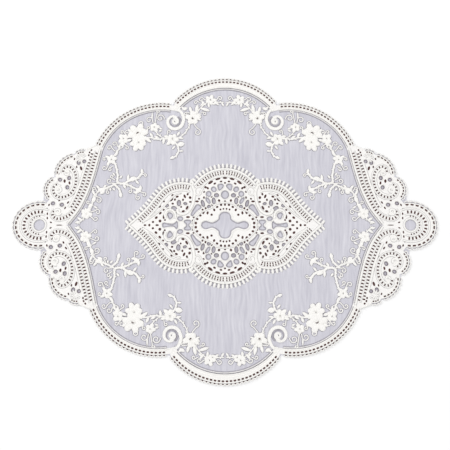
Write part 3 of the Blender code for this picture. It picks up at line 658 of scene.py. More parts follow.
def strands(work, paths, width, height, low=CORD_LOW, looped=False, blunt=0.6, full=1.0, crease=0.0,
            sides=6, finish=THREAD):
    """Threads with a flat base: a half oval, as wide and high as said, is carried along each path of
    an array of paths, points and XY. Width and height may vary from point to point. The ends are
    blunt by the given share, a low value of full squares the top, and a crease lowers its middle."""
    paths = np.asarray(paths, float)
    paths = paths[None] if paths.ndim == 2 else paths
    count, steps = paths.shape[:2]
    along = heading(paths, looped)
    size = np.ones(steps)
    if not looped:
        size[[0, -1]] = blunt
    angle = np.linspace(0.0, np.pi, sides)
    rise = np.sin(angle) ** full - crease * np.exp(-((np.cos(angle) / CREASE_WIDE) ** 2))
    across = 0.5 * (np.broadcast_to(width, paths.shape[:2]) * size)[:, :, None] * np.cos(angle)
    lift = (np.broadcast_to(height, paths.shape[:2]) * size)[:, :, None] * np.maximum(rise, 0.0)
    corners = np.empty((count, steps, sides, 3))
    corners[..., :2] = paths[:, :, None] - right_of(along)[:, :, None] * across[..., None]
    corners[..., 2] = low + lift
    run = np.linalg.norm(np.diff(paths, axis=1), axis=-1)
    run = np.concatenate([np.zeros((count, 1)), np.cumsum(run, axis=1)], axis=1)
    if looped:
        run = np.minimum(run, run[:, -1:] - run)
    thread = np.empty((count, steps, sides, 2))
    thread[..., 0] = run[:, :, None]
    thread[..., 1] = across
    at = np.arange(count * steps * sides).reshape(count, steps, sides)
    ahead = np.roll(at, -1, 1) if looped else at[:, 1:]
    here = at if looped else at[:, :-1]
    skin = np.stack([here, np.roll(here, -1, 2), np.roll(ahead, -1, 2), ahead], axis=-1).reshape(-1, 4)
    faces = [skin] if looped else [skin, at[:, 0, ::-1], at[:, -1]]
    work.add(corners, thread, faces, finish)


def outlined(work, paths, width, height, low=NET_TOP, halo=THREAD_HALO, ground=SHADE_LOW, shade_finish=FAINT,
             **shape):
    """Threads with painted shade on the ground beside them, which is as wide on each side as half the
    halo: faint and on the net, unless another height and finish are given."""
    strands(work, paths, width, height, low, **shape)
    strands(work, paths, np.asarray(width) + halo, SHADE_THICK, ground, finish=shade_finish, blunt=0.9,
            looped=shape.get("looped", False), **FLAT)


def raised(work, paths, width, height, **shape):
    """Cords on the close stitches, with a soft grey line of painted shade along each side of them."""
    outlined(work, paths, width, height, CORD_LOW, CORD_HALO, CLOTH_TOP, PAINTED_CORD_SHADE, **shape)


def inside(points, loop):
    """True for each point inside the loop: a ray from it along +X crosses the loop an odd number of
    times."""
    found = np.zeros(len(points), bool)
    near = np.all((points >= loop.min(axis=0)) & (points <= loop.max(axis=0)), axis=1)
    x, y = points[near, 0:1], points[near, 1:2]
    a, b = loop, np.roll(loop, -1, axis=0)
    rise = np.where(b[:, 1] == a[:, 1], 1.0, b[:, 1] - a[:, 1])
    crosses = (a[:, 1] > y) != (b[:, 1] > y)
    left = x < a[:, 0] + (y - a[:, 1]) * (b[:, 0] - a[:, 0]) / rise
    found[near] = np.sum(crosses & left, axis=1) % 2 == 1
    return found


def flat_cloth(work, solids, openings, low=CLOTH_LOW):
    """A flat sheet of the area that is in any solid and in no opening: the triangles between all the
    outlines that lie there, the same ones below them, and a wall along each side that one has."""
    loops = list(solids) + list(openings)
    sides, first = [], 0
    for loop in loops:
        sides += [(first + i, first + (i + 1) % len(loop)) for i in range(len(loop))]
        first += len(loop)
    found = delaunay_2d_cdt([tuple(p) for p in np.vstack(loops)], sides, [], 0, SAME_POINT)
    points, triangles = (np.array([tuple(row) for row in found[i]]) for i in (0, 2))
    middle = points[triangles].mean(axis=1)
    keep = np.any([inside(middle, s) for s in solids], axis=0)
    for opening in openings:
        keep &= ~inside(middle, opening)
    used, triangles = np.unique(triangles[keep], return_inverse=True)
    triangles, points = triangles.reshape(-1, 3), points[used]
    count = len(points)
    edges = np.vstack([triangles[:, [0, 1]], triangles[:, [1, 2]], triangles[:, [2, 0]]])
    forth, back = edges @ (count, 1), edges @ (1, count)
    rim = edges[~np.isin(forth, back)]
    wall = np.stack([rim[:, 0] + count, rim[:, 1] + count, rim[:, 1], rim[:, 0]], axis=1)
    corners = np.empty((2, count, 3))
    corners[..., :2] = points
    corners[0, :, 2], corners[1, :, 2] = low + CLOTH_THICK, low
    faces = [triangles, triangles[:, ::-1] + count, wall]
    work.add(corners, np.vstack([points, points]), faces, CLOTH, False)


def shades(work, slots, grow=SHADE_GROWTH, finish=SHADE):
    """Painted shade: a thin patch on the net under each slot, a little larger than it, so that it reads
    dark.
    """
    for block in slots:
        block = block[:, ::-1] if signed_area(block[0]) < 0 else block
        middle = block.mean(axis=1, keepdims=True)
        flat = middle + (block - middle) * grow
        count, sides = flat.shape[:2]
        corners = np.empty((count, 2, sides, 3))
        corners[..., :2] = flat[:, None]
        corners[:, 0, :, 2], corners[:, 1, :, 2] = SHADE_LOW + SHADE_THICK, SHADE_LOW
        at = np.arange(count * 2 * sides).reshape(count, 2, sides)
        top, under = at[:, 0], at[:, 1]
        wall = np.stack([under, np.roll(under, -1, 1), np.roll(top, -1, 1), top], axis=-1)
        faces = [top, under[:, ::-1], wall.reshape(-1, 4)]
        work.add(corners, corners[..., :2], faces, finish, False)


def signed_area(loop):
    """The area of a loop, positive where it runs anticlockwise."""
    after = np.roll(loop, -1, axis=0)
    return 0.5 * np.sum(loop[:, 0] * after[:, 1] - after[:, 0] * loop[:, 1])


def rim_threads(work, outline, slot_row, slot_long, slot_wide, pitch, margin, dot_shade=SHADE):
    """The threads along an outline that runs clockwise: loops of thread at the very edge, a cord
    inside them, and one inside the row of slots, with a bar between each two. Gives the slots."""
    point, way = places(outline, pitch, margin)
    inward = right_of(way)
    t = np.linspace(-1.0, 1.0, 9)
    along = 0.5 * pitch * LOOP_SHARE * t
    depth = LOOP_TOP + (LOOP_FOOT - LOOP_TOP) * np.abs(t) ** LOOP_BEND
    loops = point[:, None] + way[:, None] * along[:, None] + inward[:, None] * depth[:, None]
    strands(work, loops, LOOP_WIDE, LOOP_HIGH, BAR_LOW)
    # A dot of painted shade on the net in each loop's hole
    shades(work, [ovals(point + inward * DOT_ROW, way, DOT_SHARE * pitch, DOT_WIDE)], 1.0, dot_shade)
    strands(work, beside(outline, RIM_CORD), *RIM_CORD_SIZE)
    strands(work, beside(outline, slot_row + 0.5 * slot_wide + INNER_CORD_GAP), *INNER_CORD_SIZE)
    row = point + inward * slot_row
    joint, across = 0.5 * (row[1:] + row[:-1]), 0.5 * (inward[1:] + inward[:-1])
    reach = BAR_REACH * slot_wide * np.linspace(-1.0, 1.0, 3)
    bar = joint[:, None] + across[:, None] * reach[:, None]
    tight = np.linalg.norm(row[1] - row[0]) / pitch
    strands(work, bar, (pitch - slot_long) * tight, RIM_BAR_HIGH, BAR_LOW)
    return [ovals(row, way, slot_long * tight, slot_wide, square=SLOT_SQUARE)]


def scroll(work):
    """The tape that winds in below the notch: its radius and width fall with the angle, it ends round
    a disc, and the gap between the two is in painted shade."""
    angles, radii, widths = np.array(SCROLL_TURNS).T
    angle = np.linspace(angles[0], angles[-1], SCROLL_STEPS)
    turn, reach = np.radians(angle), np.interp(angle, angles, radii)
    wide = np.interp(angle, angles, widths)
    path = np.stack([reach * np.cos(turn), reach * np.sin(turn)], axis=1) + SCROLL_CENTRE
    strands(work, path, wide, SCROLL_HIGH, BAR_LOW, **SQUARED)
    inset, width, height = SCROLL_RIM
    for side in (-1, 1):
        edge = path + right_of(heading(path)) * (side * (0.5 * wide - inset))[:, None]
        strands(work, edge, width, height, BAR_LOW)
    outset, width, first, last = SCROLL_GAP
    # Painted faint shade along the gap
    gap = arc(*SCROLL_CENTRE, SCROLL_DISC + outset, SCROLL_DISC + outset, first, last)
    strands(work, gap, width, SHADE_THICK, SHADE_LOW, finish=FAINT, **FLAT)
    for inset, turns, eye, width, height, section in DISC_COILS:
        coil = spiral(*SCROLL_CENTRE, SCROLL_DISC - inset, turns, DISC_START, 1, eye)
        strands(work, coil, width, height, BAR_LOW, **section)


def edge_lace():
    """The lace along one long side: a top lobe and two shoulders with their scrolls."""
    work, side = Work(), Work()
    ends = (180.0 - TOP_LOBE_END, TOP_LOBE_END)
    slots = rim_threads(work, lobe(TOP_LOBE, *ends), EDGE_SLOT_ROW, *EDGE_SLOTS, TOP_MARGIN)
    inner = lobe(TOP_TAPE_INNER, *ends)
    solids = [np.vstack([lobe(TOP_LOBE, *ends, TAPE_OUTER), inner[::-1]])]
    for left, width, height, full in TOP_TAPE_CORDS:
        strands(work, beside(inner, -left), width, height, full=full)
    outlined(work, lobe(TOP_LINE, *ends), *LINE, halo=LINE_HALO)

    ends, tape = (SHOULDER_NOTCH, SHOULDER_START), (SHOULDER_TAPE_END, SHOULDER_START)
    shoulder = lobe(SHOULDER_LOBE, *ends)
    side_slots = rim_threads(side, shoulder, EDGE_SLOT_ROW, *EDGE_SLOTS, SHOULDER_MARGIN)
    inner = lobe(SHOULDER_TAPE_INNER, *tape)
    side_solid = np.vstack([lobe(SHOULDER_LOBE, *tape, TAPE_OUTER), inner[::-1]])
    for left, width, height, full in SHOULDER_TAPE_CORDS:
        strands(side, beside(inner, -left), width, height, full=full)
    outlined(side, lobe(SHOULDER_LINE, *ends), *LINE, halo=LINE_HALO)
    scroll(side)

    for way in (1, -1):
        work.join(side, x=way)
        solids.append(side_solid * (way, 1))
        slots += [block * (way, 1) for block in side_slots]
    flat_cloth(work, solids, [slot for block in slots for slot in block])
    shades(work, slots)
    return work


def ladder(work, path, pitch, across, wide, margin=0.5):
    """Slots that stand across a path at an even pitch, with a rung between each two. Gives them."""
    point, way = places(path, pitch, margin)
    middle, along = 0.5 * (point[1:] + point[:-1]), 0.5 * (way[1:] + way[:-1])
    out = right_of(along)[:, None] * (0.5 * across * np.linspace(-1.0, 1.0, 3))[:, None]
    strands(work, middle[:, None] + out, pitch - wide + RUNG_LAP, RUNG_HIGH, BAR_LOW)
    return [ovals(point, way, wide, across, square=SLOT_SQUARE)]


def corded(work, loops, width, height, out):
    """A ring of cord round each opening, whose loops run anticlockwise."""
    for loop in loops:
        strands(work, beside(loop, out + 0.5 * width, True), width, height, looped=True)


def both_ways(rows):
    """The rows of a table, and those that the centre line along X mirrors."""
    return list(rows) + [(x, -y, w, h, -turn) for x, y, w, h, turn in rows if y]


def spiral(x, y, radius, turns, start, way=1, inner=0.6):
    """A path that winds in from the radius to a small eye."""
    t = np.linspace(0.0, 1.0, int(turns * TURN_POINTS))
    angle = np.radians(start) + way * t * turns * 2 * np.pi
    reach = radius + (inner - radius) * t
    return np.stack([x + reach * np.cos(angle), y + reach * np.sin(angle)], axis=1)


def lace_end():
    """The right lace end: scalloped lobes, a ladder tape, a scroll, and the round loop at its tip."""
    work, half = Work(), Work()
    slots = []
    for x, y, radius_x, radius_y, first, last in END_LOBES[:-1]:
        outline = arc(x, y, radius_x, radius_y, first, last)
        slots += rim_threads(half, outline, END_SLOT_ROW, *LOBE_SLOTS, FAINT)
    edge, scroll_row = curve(END_INNER_EDGE), curve(SCROLL_ROW, FINE_STEP)
    rows = [curve(LADDER_NEAR), curve(LADDER_FAR), scroll_row, curve(CORNER_ROW)]
    for row, (pitch, across, wide) in zip(rows, END_LADDERS):
        slots += ladder(half, row, pitch, across, wide)
    strands(half, curve(CORNER_CORD), *CORNER_CORD_SIZE, blunt=1.0)
    flat_cloth(half, [SEAM_TAB], [], CLOTH_LOW - SEAM_DROP)

    outlined(half, beside(edge, -END_LINE), *LINE, halo=LINE_HALO)
    for which, right, first, last, width, height, section in END_CORDS:
        path = beside(([edge] + rows)[which], right)[first:last]
        raised(half, path, width, height, **section)
    for *coil, width, height in END_SPIRALS:
        raised(half, spiral(*coil), width, height, **PADDED)
    for turn in np.radians(RIB_ANGLES):
        rib = RIB_CENTRE + np.outer(RIB_REACH, (np.cos(turn), np.sin(turn)))
        raised(half, evenly(rib, 0.8), *RIB_SIZE, full=0.8)
    corded(half, [oval(*opening, sides=20) for opening in END_OPENINGS], *END_RING)

    for way in (1, -1):
        work.join(half, y=way)
    slots += [block * (1, -1) for block in slots]
    slots += [oval(*hole, sides=8)[None] for hole in both_ways(END_SMALL_HOLES)]

    x, y, radius_x, radius_y, first, last = END_LOBES[-1]
    outline = arc(x, y, radius_x, radius_y, first, last)
    slots += rim_threads(work, outline, END_SLOT_ROW, *TIP_SLOTS, FAINT)
    for reach_x, reach_y, last, pitch, across, wide in TIP_LADDERS:
        slots += ladder(work, arc(x, y, reach_x, reach_y, last, -last), pitch, across, wide)
    ring = arc(x, y, TIP_RING, TIP_RING, 180.0, -180.0)[:-1]
    raised(work, ring, *TIP_RING_SIZE, looped=True)
    for reach_x, reach_y, width in TIP_CORDS:
        raised(work, arc(x, y, reach_x, reach_y, TIP_CORD_END, -TIP_CORD_END), width, TIP_CORD_HIGH)

    over = (1, -1)
    fill = np.vstack([END_FILL, (END_FILL * np.array(over))[::-1], edge * over, edge[::-1][1:]])
    discs = []
    for x, y, radius_x, radius_y, _, _ in END_LOBES:
        disc = oval(x, y, 2 * radius_x - DISC_INSET, 2 * radius_y - DISC_INSET, sides=48)
        discs += [disc, disc * over] if y else [disc]
    inner = beside(edge, -END_CLOTH_INSET)
    far_x, far_y = END_GROUND_FAR
    corners = [(far_x, -far_y), (far_x, far_y)]
    ground = np.vstack([inner, [END_GROUND_TIP], inner[::-1] * over, corners])
    gaps = [oval(*opening, sides=16) for opening in both_ways(END_OPENINGS)]
    loop_hole = oval(*LOOP_HOLE, sides=28)
    holes = [slot for block in slots for slot in block]
    flat_cloth(work, [fill] + discs, [ground] + gaps + [loop_hole] + holes)
    shades(work, slots)
    dim(work, gaps, END_OPENING_RIM)
    return work


def dim(work, loops, rim):
    """The net below small openings, whose loops run anticlockwise: in painted faint shade, with a rim
    of darker painted shade.
    """
    shades(work, [loop[None] for loop in loops], DIM_GROWTH, FAINT)
    for loop in loops:
        path = beside(loop, -0.25 * rim, True)
        strands(work, path, rim, 2 * SHADE_THICK, SHADE_LOW, looped=True, finish=DUSK, **FLAT)


def medallion_edge():
    """The quarter of the medallion's edge: a round top lobe, and a side lobe drawn to a point. They
    meet at the notch."""
    x, y, radius = MEDALLION_TOP
    notch = np.degrees(np.arctan2(MEDALLION_NOTCH[1] - y, MEDALLION_NOTCH[0] - x))
    return arc(x, y, radius, radius, 90.0, notch, CURVE_STEP), curve(MEDALLION_SIDE)


def four_ways(rows):
    """The rows of a table in all four quarters. A row on a centre line isn't doubled across it."""
    return [
        (x * over, y * up, wide, high, turn * over * up)
        for x, y, wide, high, turn in rows
        for over in ((1, -1) if x else (1,))
        for up in ((1, -1) if y else (1,))
    ]


def anticlockwise(loops):
    """The loops, turned round where they run clockwise."""
    return [loop[::-1] if signed_area(loop) < 0 else loop for loop in loops]


def whole_outline(quarter):
    """A closed outline from its quarter, which runs from the centre line along Y to that along X."""
    q = np.asarray(quarter, float)
    half = np.vstack([q, (q * (1, -1))[::-1][1:]])
    return np.vstack([half, (half * (-1, 1))[::-1][1:-1]])


def medallion_openings():
    """The medallion's openings in all four quarters: a cross, ovals, wedges, hourglasses and bows."""
    turned = [np.array((x, y)) for x in (1, -1) for y in (1, -1)]
    cross = curve(whole_outline(np.array(CROSS_QUARTER)[::-1]), closed=True)
    wedges = [curve(points * way, closed=True) for points in (FAN_WEDGE, SIDE_WEDGE, SIDE_DROP)
              for way in turned]
    halved = [np.vstack([half, (half * np.array((1, -1)))[:0:-1]]) for half in (HOURGLASS, BOW)]
    halved = [curve(loop * (x, 1), closed=True) for loop in halved for x in (1, -1)]
    rounds = [oval(*opening, sides=20) for opening in four_ways(FAN_OPENINGS + SIDE_OPENINGS)]
    loops = anticlockwise([cross] + wedges + halved + rounds)
    return [beside(loop, OPENING_GROWTH, True) for loop in loops]


def medallion():
    """The medallion: a beaded cord edge with a ladder inside it, fans round a cross, and scrolls."""
    work, quarter = Work(), Work()
    edges = medallion_edge()
    slots = []
    for path, (pitch, margin) in zip(edges, MEDALLION_PITCHES):
        inset, width, height, lowest = OUTER_CORD
        raised(quarter, above(beside(path, inset), lowest), width, height, blunt=1.0, **SOFT_EDGED)
        inset, width, height, lowest = INNER_CORD
        cord = above(beside(path, inset), lowest)[:-INNER_CORD_SHORT]
        raised(quarter, cord, width, height, blunt=0.9, **SOFT_EDGED)
        row = above(beside(path, MEDALLION_LADDER), LADDER_LOWEST)
        slots += ladder(quarter, row, pitch, *MEDALLION_SLOT, margin)
        strands(quarter, row, *LADDER_THREAD, BAR_LOW, blunt=1.0)
    whole = np.vstack([edges[0][:-1], edges[1]])
    point, way = places(whole, BEAD_PITCH)
    t = np.linspace(*BEAD_REACH, len(BEAD_SWELL))
    bead = point[:, None] - right_of(way)[:, None] * t[:, None]
    swell = np.array(BEAD_SWELL)
    strands(quarter, bead, BEAD_SIZE[0] * swell, BEAD_SIZE[1] * swell, NET_TOP)
    out, width = BEAD_SHADE
    strands(quarter, beside(whole, -out), width, SHADE_THICK, SHADE_LOW, finish=FAINT, **FLAT)
    for width, points in MEDALLION_CORDS:
        cord = curve(points, FINE_STEP)
        raised(quarter, cord, width, MEDALLION_CORD_HIGH, blunt=0.8, **PADDED)
    for x in (1, -1):
        for y in (1, -1):
            work.join(quarter, x=x, y=y)
    slots = [block * (x, y) for block in slots for x in (1, -1) for y in (1, -1)]
    for x, y, wide, high, turn in four_ways(MEDALLION_SMALL_HOLES):
        size = (wide + SMALL_HOLE_GROWTH, high + SMALL_HOLE_GROWTH)
        slots.append(oval(x, y, *size, turn, sides=8)[None])
    openings = medallion_openings()
    corded(work, openings[:1], *CROSS_RING)
    corded(work, openings[1:], *OPENING_RING)
    dim(work, [loop for loop in openings if signed_area(loop) < SMALL_AREA], MEDALLION_OPENING_RIM)
    # Painted faint shade along the inside of each large opening's edge
    inset, width = OPENING_SHADE
    for loop in openings:
        if signed_area(loop) >= SMALL_AREA:
            path = beside(loop, -inset, True)
            strands(work, path, width, SHADE_THICK, SHADE_LOW, looped=True, finish=FAINT, **FLAT)
    holes = [slot for block in slots for slot in block]
    flat_cloth(work, [whole_outline(whole)], openings + holes)
    shades(work, slots)
    return work


def petal(work, x, y, angle, length, width, tip=LEAF_TIP, full=PETAL_FULL):
    """A padded petal or leaf: a creased half oval whose width swells and falls again along its
    length, as a sine does up to the tip's share of half a turn. A low power makes it full."""
    t = np.linspace(0.0, 1.0, 9)
    c, s = np.cos(np.radians(angle)), np.sin(np.radians(angle))
    path = np.stack([x + length * t * c, y + length * t * s], axis=1)
    swell = np.sin(np.pi * (PETAL_ROOT + (tip - PETAL_ROOT) * t)) ** full
    high = PETAL_HIGH * swell**0.6
    outlined(work, path, width * swell, high, blunt=0.7, crease=PETAL_CREASE, sides=8)


def sprigs(work, path):
    """Small leaves along a stem, to its left and right in turn, each at a slant to it."""
    point, way = places(path, SPRIG_PITCH, SPRIG_MARGIN)
    side = np.where(np.arange(len(point)) % 2, 1.0, -1.0)[:, None]
    slant = SPRIG_SLANT[0] * way + SPRIG_SLANT[1] * side * right_of(way)
    length, width, height = SPRIG_SIZE
    t = np.linspace(0.1, 1.0, len(SPRIG_SWELL))
    paths = point[:, None] + slant[:, None] * (length * t)[:, None]
    outlined(work, paths, width * np.array(SPRIG_SWELL), height)


def flower(work, x, y, petals, radius, width, turn, eye):
    """Petals round a centre with narrow ones between them, each a little longer or shorter than the
    last. The centre is a raised knot, or a ring round an eye of painted shade."""
    start = eye + EYE_GAP if eye else PETAL_START * radius
    for k in range(2 * petals):
        share, broad = PETAL_SHARES[k % 2]
        angle = turn + 90.0 + k * 180.0 / petals
        c, s = np.cos(np.radians(angle)), np.sin(np.radians(angle))
        length = radius * (1.0 + PETAL_VARIES * np.sin(2.4 * k + x)) * share - start
        root = (x + start * c, y + start * s)
        petal(work, *root, angle, length, width * broad, FLOWER_TIP, FLOWER_PETAL_FULL)
    ring = eye + RING_GAP if eye else KNOT_RADIUS
    strands(work, arc(x, y, ring, ring, 0.0, 330.0, 0.5), *KNOT_SIZE, NET_TOP, looped=True)
    # The eye: a patch of painted shade on the net
    if eye:
        shades(work, [oval(x, y, 2 * eye, 2 * eye)[None]], 1.0)


def tendril(x, y, coil_x, coil_y, radius, way):
    """A path from its start to the rim of its coil, and round that while the radius shrinks."""
    start = np.degrees(np.arctan2(y - coil_y, x - coil_x))
    angle = np.radians(start + way * np.linspace(*COIL_SPAN, COIL_STEPS))
    reach = radius * np.linspace(1.0, COIL_END, COIL_STEPS)
    coil = np.stack([coil_x + reach * np.cos(angle), coil_y + reach * np.sin(angle)], axis=1)
    return evenly(np.vstack([[(x, y)], coil]), 0.6)


def spray():
    """One flower spray: stems, padded petals and leaves, and curled tendrils."""
    work = Work()
    for k, (width, points) in enumerate(SPRAY_STEMS):
        stem = curve(points, 1.0)
        outlined(work, stem, width, STEM_HIGH + STEM_RISE * k)
        sprigs(work, stem)
    for row in SPRAY_FLOWERS:
        flower(work, *row)
    for x, y, length, width, turn in SPRAY_LEAVES:
        c, s = np.cos(np.radians(turn)), np.sin(np.radians(turn))
        petal(work, x - 0.5 * length * c, y - 0.5 * length * s, turn, length, width)
    for row in SPRAY_TENDRILS:
        outlined(work, tendril(*row), *TENDRIL_SIZE)
    return work


def net_half_width(x):
    """How far the net reaches from the centre line at each X: the highest of the lobes' ovals there."""
    reach = np.zeros_like(x)
    x = np.abs(x)
    lobes = [(0.0, TOP_LOBE[1], TOP_LOBE[2], TOP_LOBE[2]), SHOULDER_LOBE + SHOULDER_LOBE[2:]]
    lobes += [row[:4] for row in END_LOBES]
    for centre_x, centre_y, radius_x, radius_y in lobes:
        share = (x - centre_x) / (radius_x - NET_INSET)
        over = np.abs(share) < 1.0
        high = centre_y + (radius_y - NET_INSET) * np.sqrt(np.where(over, 1.0 - share**2, 0.0))
        reach = np.where(over, np.maximum(reach, high), reach)
    return reach


def net_ground():
    """The sheer net: a grid that runs along X and across Y, as wide at each X as the lobes reach, with
    the same grid below it. Gives the piece's work and its flat area in square metres."""
    work = Work()
    end = END_LOBES[-1][0] + END_LOBES[-1][2] - NET_INSET
    x = end * np.sin(np.linspace(-0.5 * np.pi, 0.5 * np.pi, NET_COLUMNS))[1:-1]
    v = np.linspace(-1.0, 1.0, NET_ROWS)
    half = net_half_width(x)
    top = np.stack(np.broadcast_arrays(x[:, None], half[:, None] * v, NET_TOP), axis=-1)
    under = top * (1, 1, 0)
    columns, rows = len(x), len(v)
    at = np.arange(columns * rows).reshape(columns, rows)
    skin = np.stack([at[:-1, :-1], at[1:, :-1], at[1:, 1:], at[:-1, 1:]], axis=-1).reshape(-1, 4)
    rim = np.concatenate([at[:-1, 0], at[-1, :-1], at[:0:-1, -1], at[0, :0:-1]])
    after, below = np.roll(rim, -1), columns * rows
    wall = np.stack([rim + below, after + below, after, rim], axis=-1)
    corners, faces = np.stack([top, under]), [skin, skin[:, ::-1] + below, wall]
    work.add(corners, corners[..., :2], faces, 0, False)
    area = np.sum(np.diff(x) * (half[1:] + half[:-1])) * METRES_PER_MM**2
    return work, float(area)


class Sum:
    """A socket's value in a material, so that shader maths can be written as Python expressions."""

    def __init__(self, nodes, socket):
        self.nodes, self.socket = nodes, socket

    def _with(self, operation, other, turned=False):
        pair = (other, self) if turned else (self, other)
        return self.nodes.make("ShaderNodeMath", {"operation": operation}, pair)

    def __add__(self, other):
        return self._with("ADD", other)

    def __radd__(self, other):
        return self._with("ADD", other, True)

    def __sub__(self, other):
        return self._with("SUBTRACT", other)

    def __rsub__(self, other):
        return self._with("SUBTRACT", other, True)

    def __mul__(self, other):
        return self._with("MULTIPLY", other)

    def __rmul__(self, other):
        return self._with("MULTIPLY", other, True)


class Finish:
    """The nodes of one material."""

    def __init__(self, name, roughness, sheen=0.0):
        self.material = bpy.data.materials.new(name)
        self.material.use_nodes = True
        self.tree = self.material.node_tree
        self.shader = self.tree.nodes["Principled BSDF"]
        self.shader.inputs["Roughness"].default_value = roughness
        self.shader.inputs["Sheen Weight"].default_value = sheen
        self.shader.inputs["Specular IOR Level"].default_value = 0.25

    def make(self, kind, settings, values, output=0):
        """A node of that kind: its settings first, then a value or a link for each socket, by place
        or name."""
        node = self.tree.nodes.new(kind)
        for name, value in settings.items():
            setattr(node, name, value)
        for place, value in values.items() if isinstance(values, dict) else enumerate(values):
            socket = node.inputs[place]
            if isinstance(value, Sum):
                self.tree.links.new(value.socket, socket)
            else:
                socket.default_value = value
        return Sum(self, node.outputs[output])

    def feed(self, name, value):
        """Links a value to one of the shader's own sockets."""
        self.tree.links.new(value.socket, self.shader.inputs[name])

    def mixed(self, share, first, second):
        """A colour between two others, by the share of the second."""
        colours = {"Factor": share, 6: first, 7: second}
        return self.make("ShaderNodeMix", {"data_type": "RGBA"}, colours, 2)

    def sine(self, value):
        """The sine of a value, from 0 to 1."""
        return self.make("ShaderNodeMath", {"operation": "SINE"}, (value,)) * 0.5 + 0.5

    def bump(self, height, distance_mm, strength=1.0):
        """Feeds a height, from 0 to 1, to the shader's normal."""
        values = {"Height": height, "Distance": distance_mm * METRES_PER_MM, "Strength": strength}
        self.feed("Normal", self.make("ShaderNodeBump", {}, values))


def axes_of(finish, socket):
    """A texture coordinate and its three parts. The object's own is in metres, and the thread places
    are in millimetres."""
    spot = finish.make("ShaderNodeTexCoord", {}, {}, socket)
    return spot, [finish.make("ShaderNodeSeparateXYZ", {}, {0: spot}, i) for i in range(3)]


def unevenness(finish, spot, scale, detail):
    """A noise over the object, from 0 to 1."""
    values = {"Vector": spot, "Scale": scale, "Detail": detail}
    return finish.make("ShaderNodeTexNoise", {}, values)


def thread_finish():
    """Cream satin stitches: fine ridges across the cord, slightly uneven in colour and height. The
    colour is darker where the ridges are low, as painted shade in their hollows.
    """
    finish = Finish("lace_thread", 0.8, 0.15)
    _, (along, across, _) = axes_of(finish, "UV")
    spot, _ = axes_of(finish, "Object")
    uneven = unevenness(finish, spot, 260.0, 3.0)
    ridge = finish.sine(along * STITCH_WAVE + across * STITCH_SLANT + uneven * STITCH_WANDER)
    # Colour follows the ridges' height: painted shade in the hollows between stitches, and an uneven
    # tone from the noise
    finish.feed("Base Color", finish.mixed(ridge * 0.5 + uneven * 0.5, *THREAD_COLOURS))
    finish.bump(ridge * 0.7 + uneven * 0.3, 0.10)
    return finish.material


def cloth_finish():
    """The close stitches between the cords: two crossing sets of fine ridges, their hollows darker in
    colour as painted shade.
    """
    finish = Finish("lace_stitches", 0.85, 0.1)
    spot, (x, y, _) = axes_of(finish, "Object")
    uneven = unevenness(finish, spot, 420.0, 3.0)
    wander, (long_wave, short_wave) = uneven * 4.0, CLOTH_WAVES
    first = finish.sine(x * long_wave + y * short_wave + wander)
    second = finish.sine(x * -short_wave + y * long_wave + wander)
    ridge = first * 0.5 + second * 0.5
    # Darker where the ridges are low: painted shade in their hollows; the noise gives an uneven tone
    finish.feed("Base Color", finish.mixed(ridge * 0.6 + uneven * 0.4, *CLOTH_COLOURS))
    finish.bump(ridge, 0.08)
    return finish.material


def ground_finish(name, scale, deep, bright):
    """A matt, slightly uneven colour for the painted shade that lies on the net or on the stitches."""
    finish = Finish(name, 0.95)
    spot, _ = axes_of(finish, "Object")
    uneven = unevenness(finish, spot, scale, 2.0)
    finish.feed("Base Color", finish.mixed(uneven, deep, bright))
    finish.shader.inputs["Specular IOR Level"].default_value = 0.0
    return finish.material


def net_finish():
    """The lavender net: upright threads, which crowd into uneven streaks, and a fine weft."""
    finish = Finish("net_weave", 0.75, 0.1)
    spot, (x, y, _) = axes_of(finish, "Object")
    sway = unevenness(finish, spot, 22.0, 2.0)
    upright = (x + sway * STREAK_SWAY, y * STREAK_STRETCH, 0.0)
    drawn = finish.make("ShaderNodeCombineXYZ", {}, upright)
    streak = unevenness(finish, drawn, 420.0, 3.0)
    crowd = unevenness(finish, drawn, 90.0, 1.0)
    thread = finish.sine(x * NET_WAVE + sway * 40.0)
    weft = finish.sine(y * NET_WAVE + sway * 30.0)
    share = (streak - 0.5) * 1.9 + (crowd - 0.5) * 0.6 + thread * 0.12 + 0.45
    finish.feed("Base Color", finish.mixed(share, *NET_COLOURS))
    finish.bump(thread * 0.4 + weft * 0.3 + streak * 0.3, 0.06)
    return finish.material


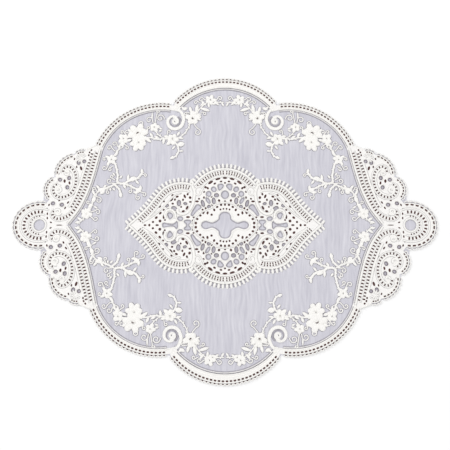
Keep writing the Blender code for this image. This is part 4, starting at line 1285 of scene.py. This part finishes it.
def studio():
    """A pale floor, soft light from above, and the camera where the photograph was taken from."""
    floor_mesh = bpy.data.meshes.new("studio_floor")
    across = FLOOR_REACH * np.array([(-1, -1, 0), (1, -1, 0), (1, 1, 0), (-1, 1, 0)])
    floor_mesh.from_pydata(across.tolist(), [], [(0, 1, 2, 3)])
    floor = bpy.data.objects.new("studio_floor", floor_mesh)
    bpy.context.scene.collection.objects.link(floor)
    paper = Finish("floor_paper", 0.9)
    paper.shader.inputs["Base Color"].default_value = FLOOR_COLOUR
    paper.shader.inputs["Specular IOR Level"].default_value = 0.0
    floor_mesh.materials.append(paper.material)

    for name, place, size, power in SOFT_LIGHTS:
        light = bpy.data.lights.new(name, "AREA")
        light.size = size
        light.energy = power
        lamp = bpy.data.objects.new(name, light)
        lamp.location = place
        lamp.rotation_euler = (-Vector(place)).to_track_quat("-Z", "Y").to_euler()
        bpy.context.scene.collection.objects.link(lamp)

    world = bpy.data.worlds.new("studio_air")
    world.use_nodes = True
    air = world.node_tree.nodes["Background"]
    air.inputs["Color"].default_value = (1.0, 1.0, 1.0, 1.0)
    air.inputs["Strength"].default_value = AIR_STRENGTH
    bpy.context.scene.world = world
    bpy.context.scene.view_settings.view_transform = "Standard"

    low, high = (np.array(corner) for corner in box_of_solids)
    elevation = np.radians(CAMERA_ELEVATION)
    camera = bpy.data.cameras.new("camera")
    camera.sensor_width = 36.0
    camera.lens = camera.sensor_width * CAMERA_DISTANCE / ((high[0] - low[0]) / MAT_SHARE)
    camera.clip_start = 0.01
    eye = bpy.data.objects.new("camera", camera)
    target = Vector((0.0, 0.0, high[2]))
    eye.location = target + CAMERA_DISTANCE * Vector((0.0, -np.cos(elevation), np.sin(elevation)))
    eye.rotation_euler = (target - eye.location).to_track_quat("-Z", "Y").to_euler()
    bpy.context.scene.collection.objects.link(eye)
    bpy.context.scene.camera = eye


def dress():
    """Puts the pieces of the mat in the place of the plain solids."""
    lace_finishes = [thread_finish(), cloth_finish()]
    lace_finishes += [ground_finish(*row) for row in GROUND_FINISHES]
    net_work, net_area = net_ground()
    net = net_work.piece("sheer_net", [net_finish()])
    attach(net, "root")
    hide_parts("net_ground")

    edge, end, centre, flowers = edge_lace(), lace_end(), medallion(), spray()
    rows = [
        ("edge_cords_top", edge, 1, 1, "edge_lace_top"),
        ("edge_cords_bottom", edge, 1, -1, "edge_lace_bottom"),
        ("end_cords_right", end, 1, 1, "end_lace_right"),
        ("end_cords_left", end, -1, 1, "end_lace_left"),
        ("medallion_cords", centre, 1, 1, "medallion_lace"),
        ("embroidery_top_right", flowers, 1, 1, "spray_top_right"),
        ("embroidery_top_left", flowers, -1, 1, "spray_top_left"),
        ("embroidery_bottom_right", flowers, 1, -1, "spray_bottom_right"),
        ("embroidery_bottom_left", flowers, -1, -1, "spray_bottom_left"),
    ]
    for name, work, x, y, node in rows:
        placed = Work()
        placed.join(work, x=x, y=y)
        made = placed.piece(name, lace_finishes)
        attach(made, "root")
        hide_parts(node)


studio()
dress()
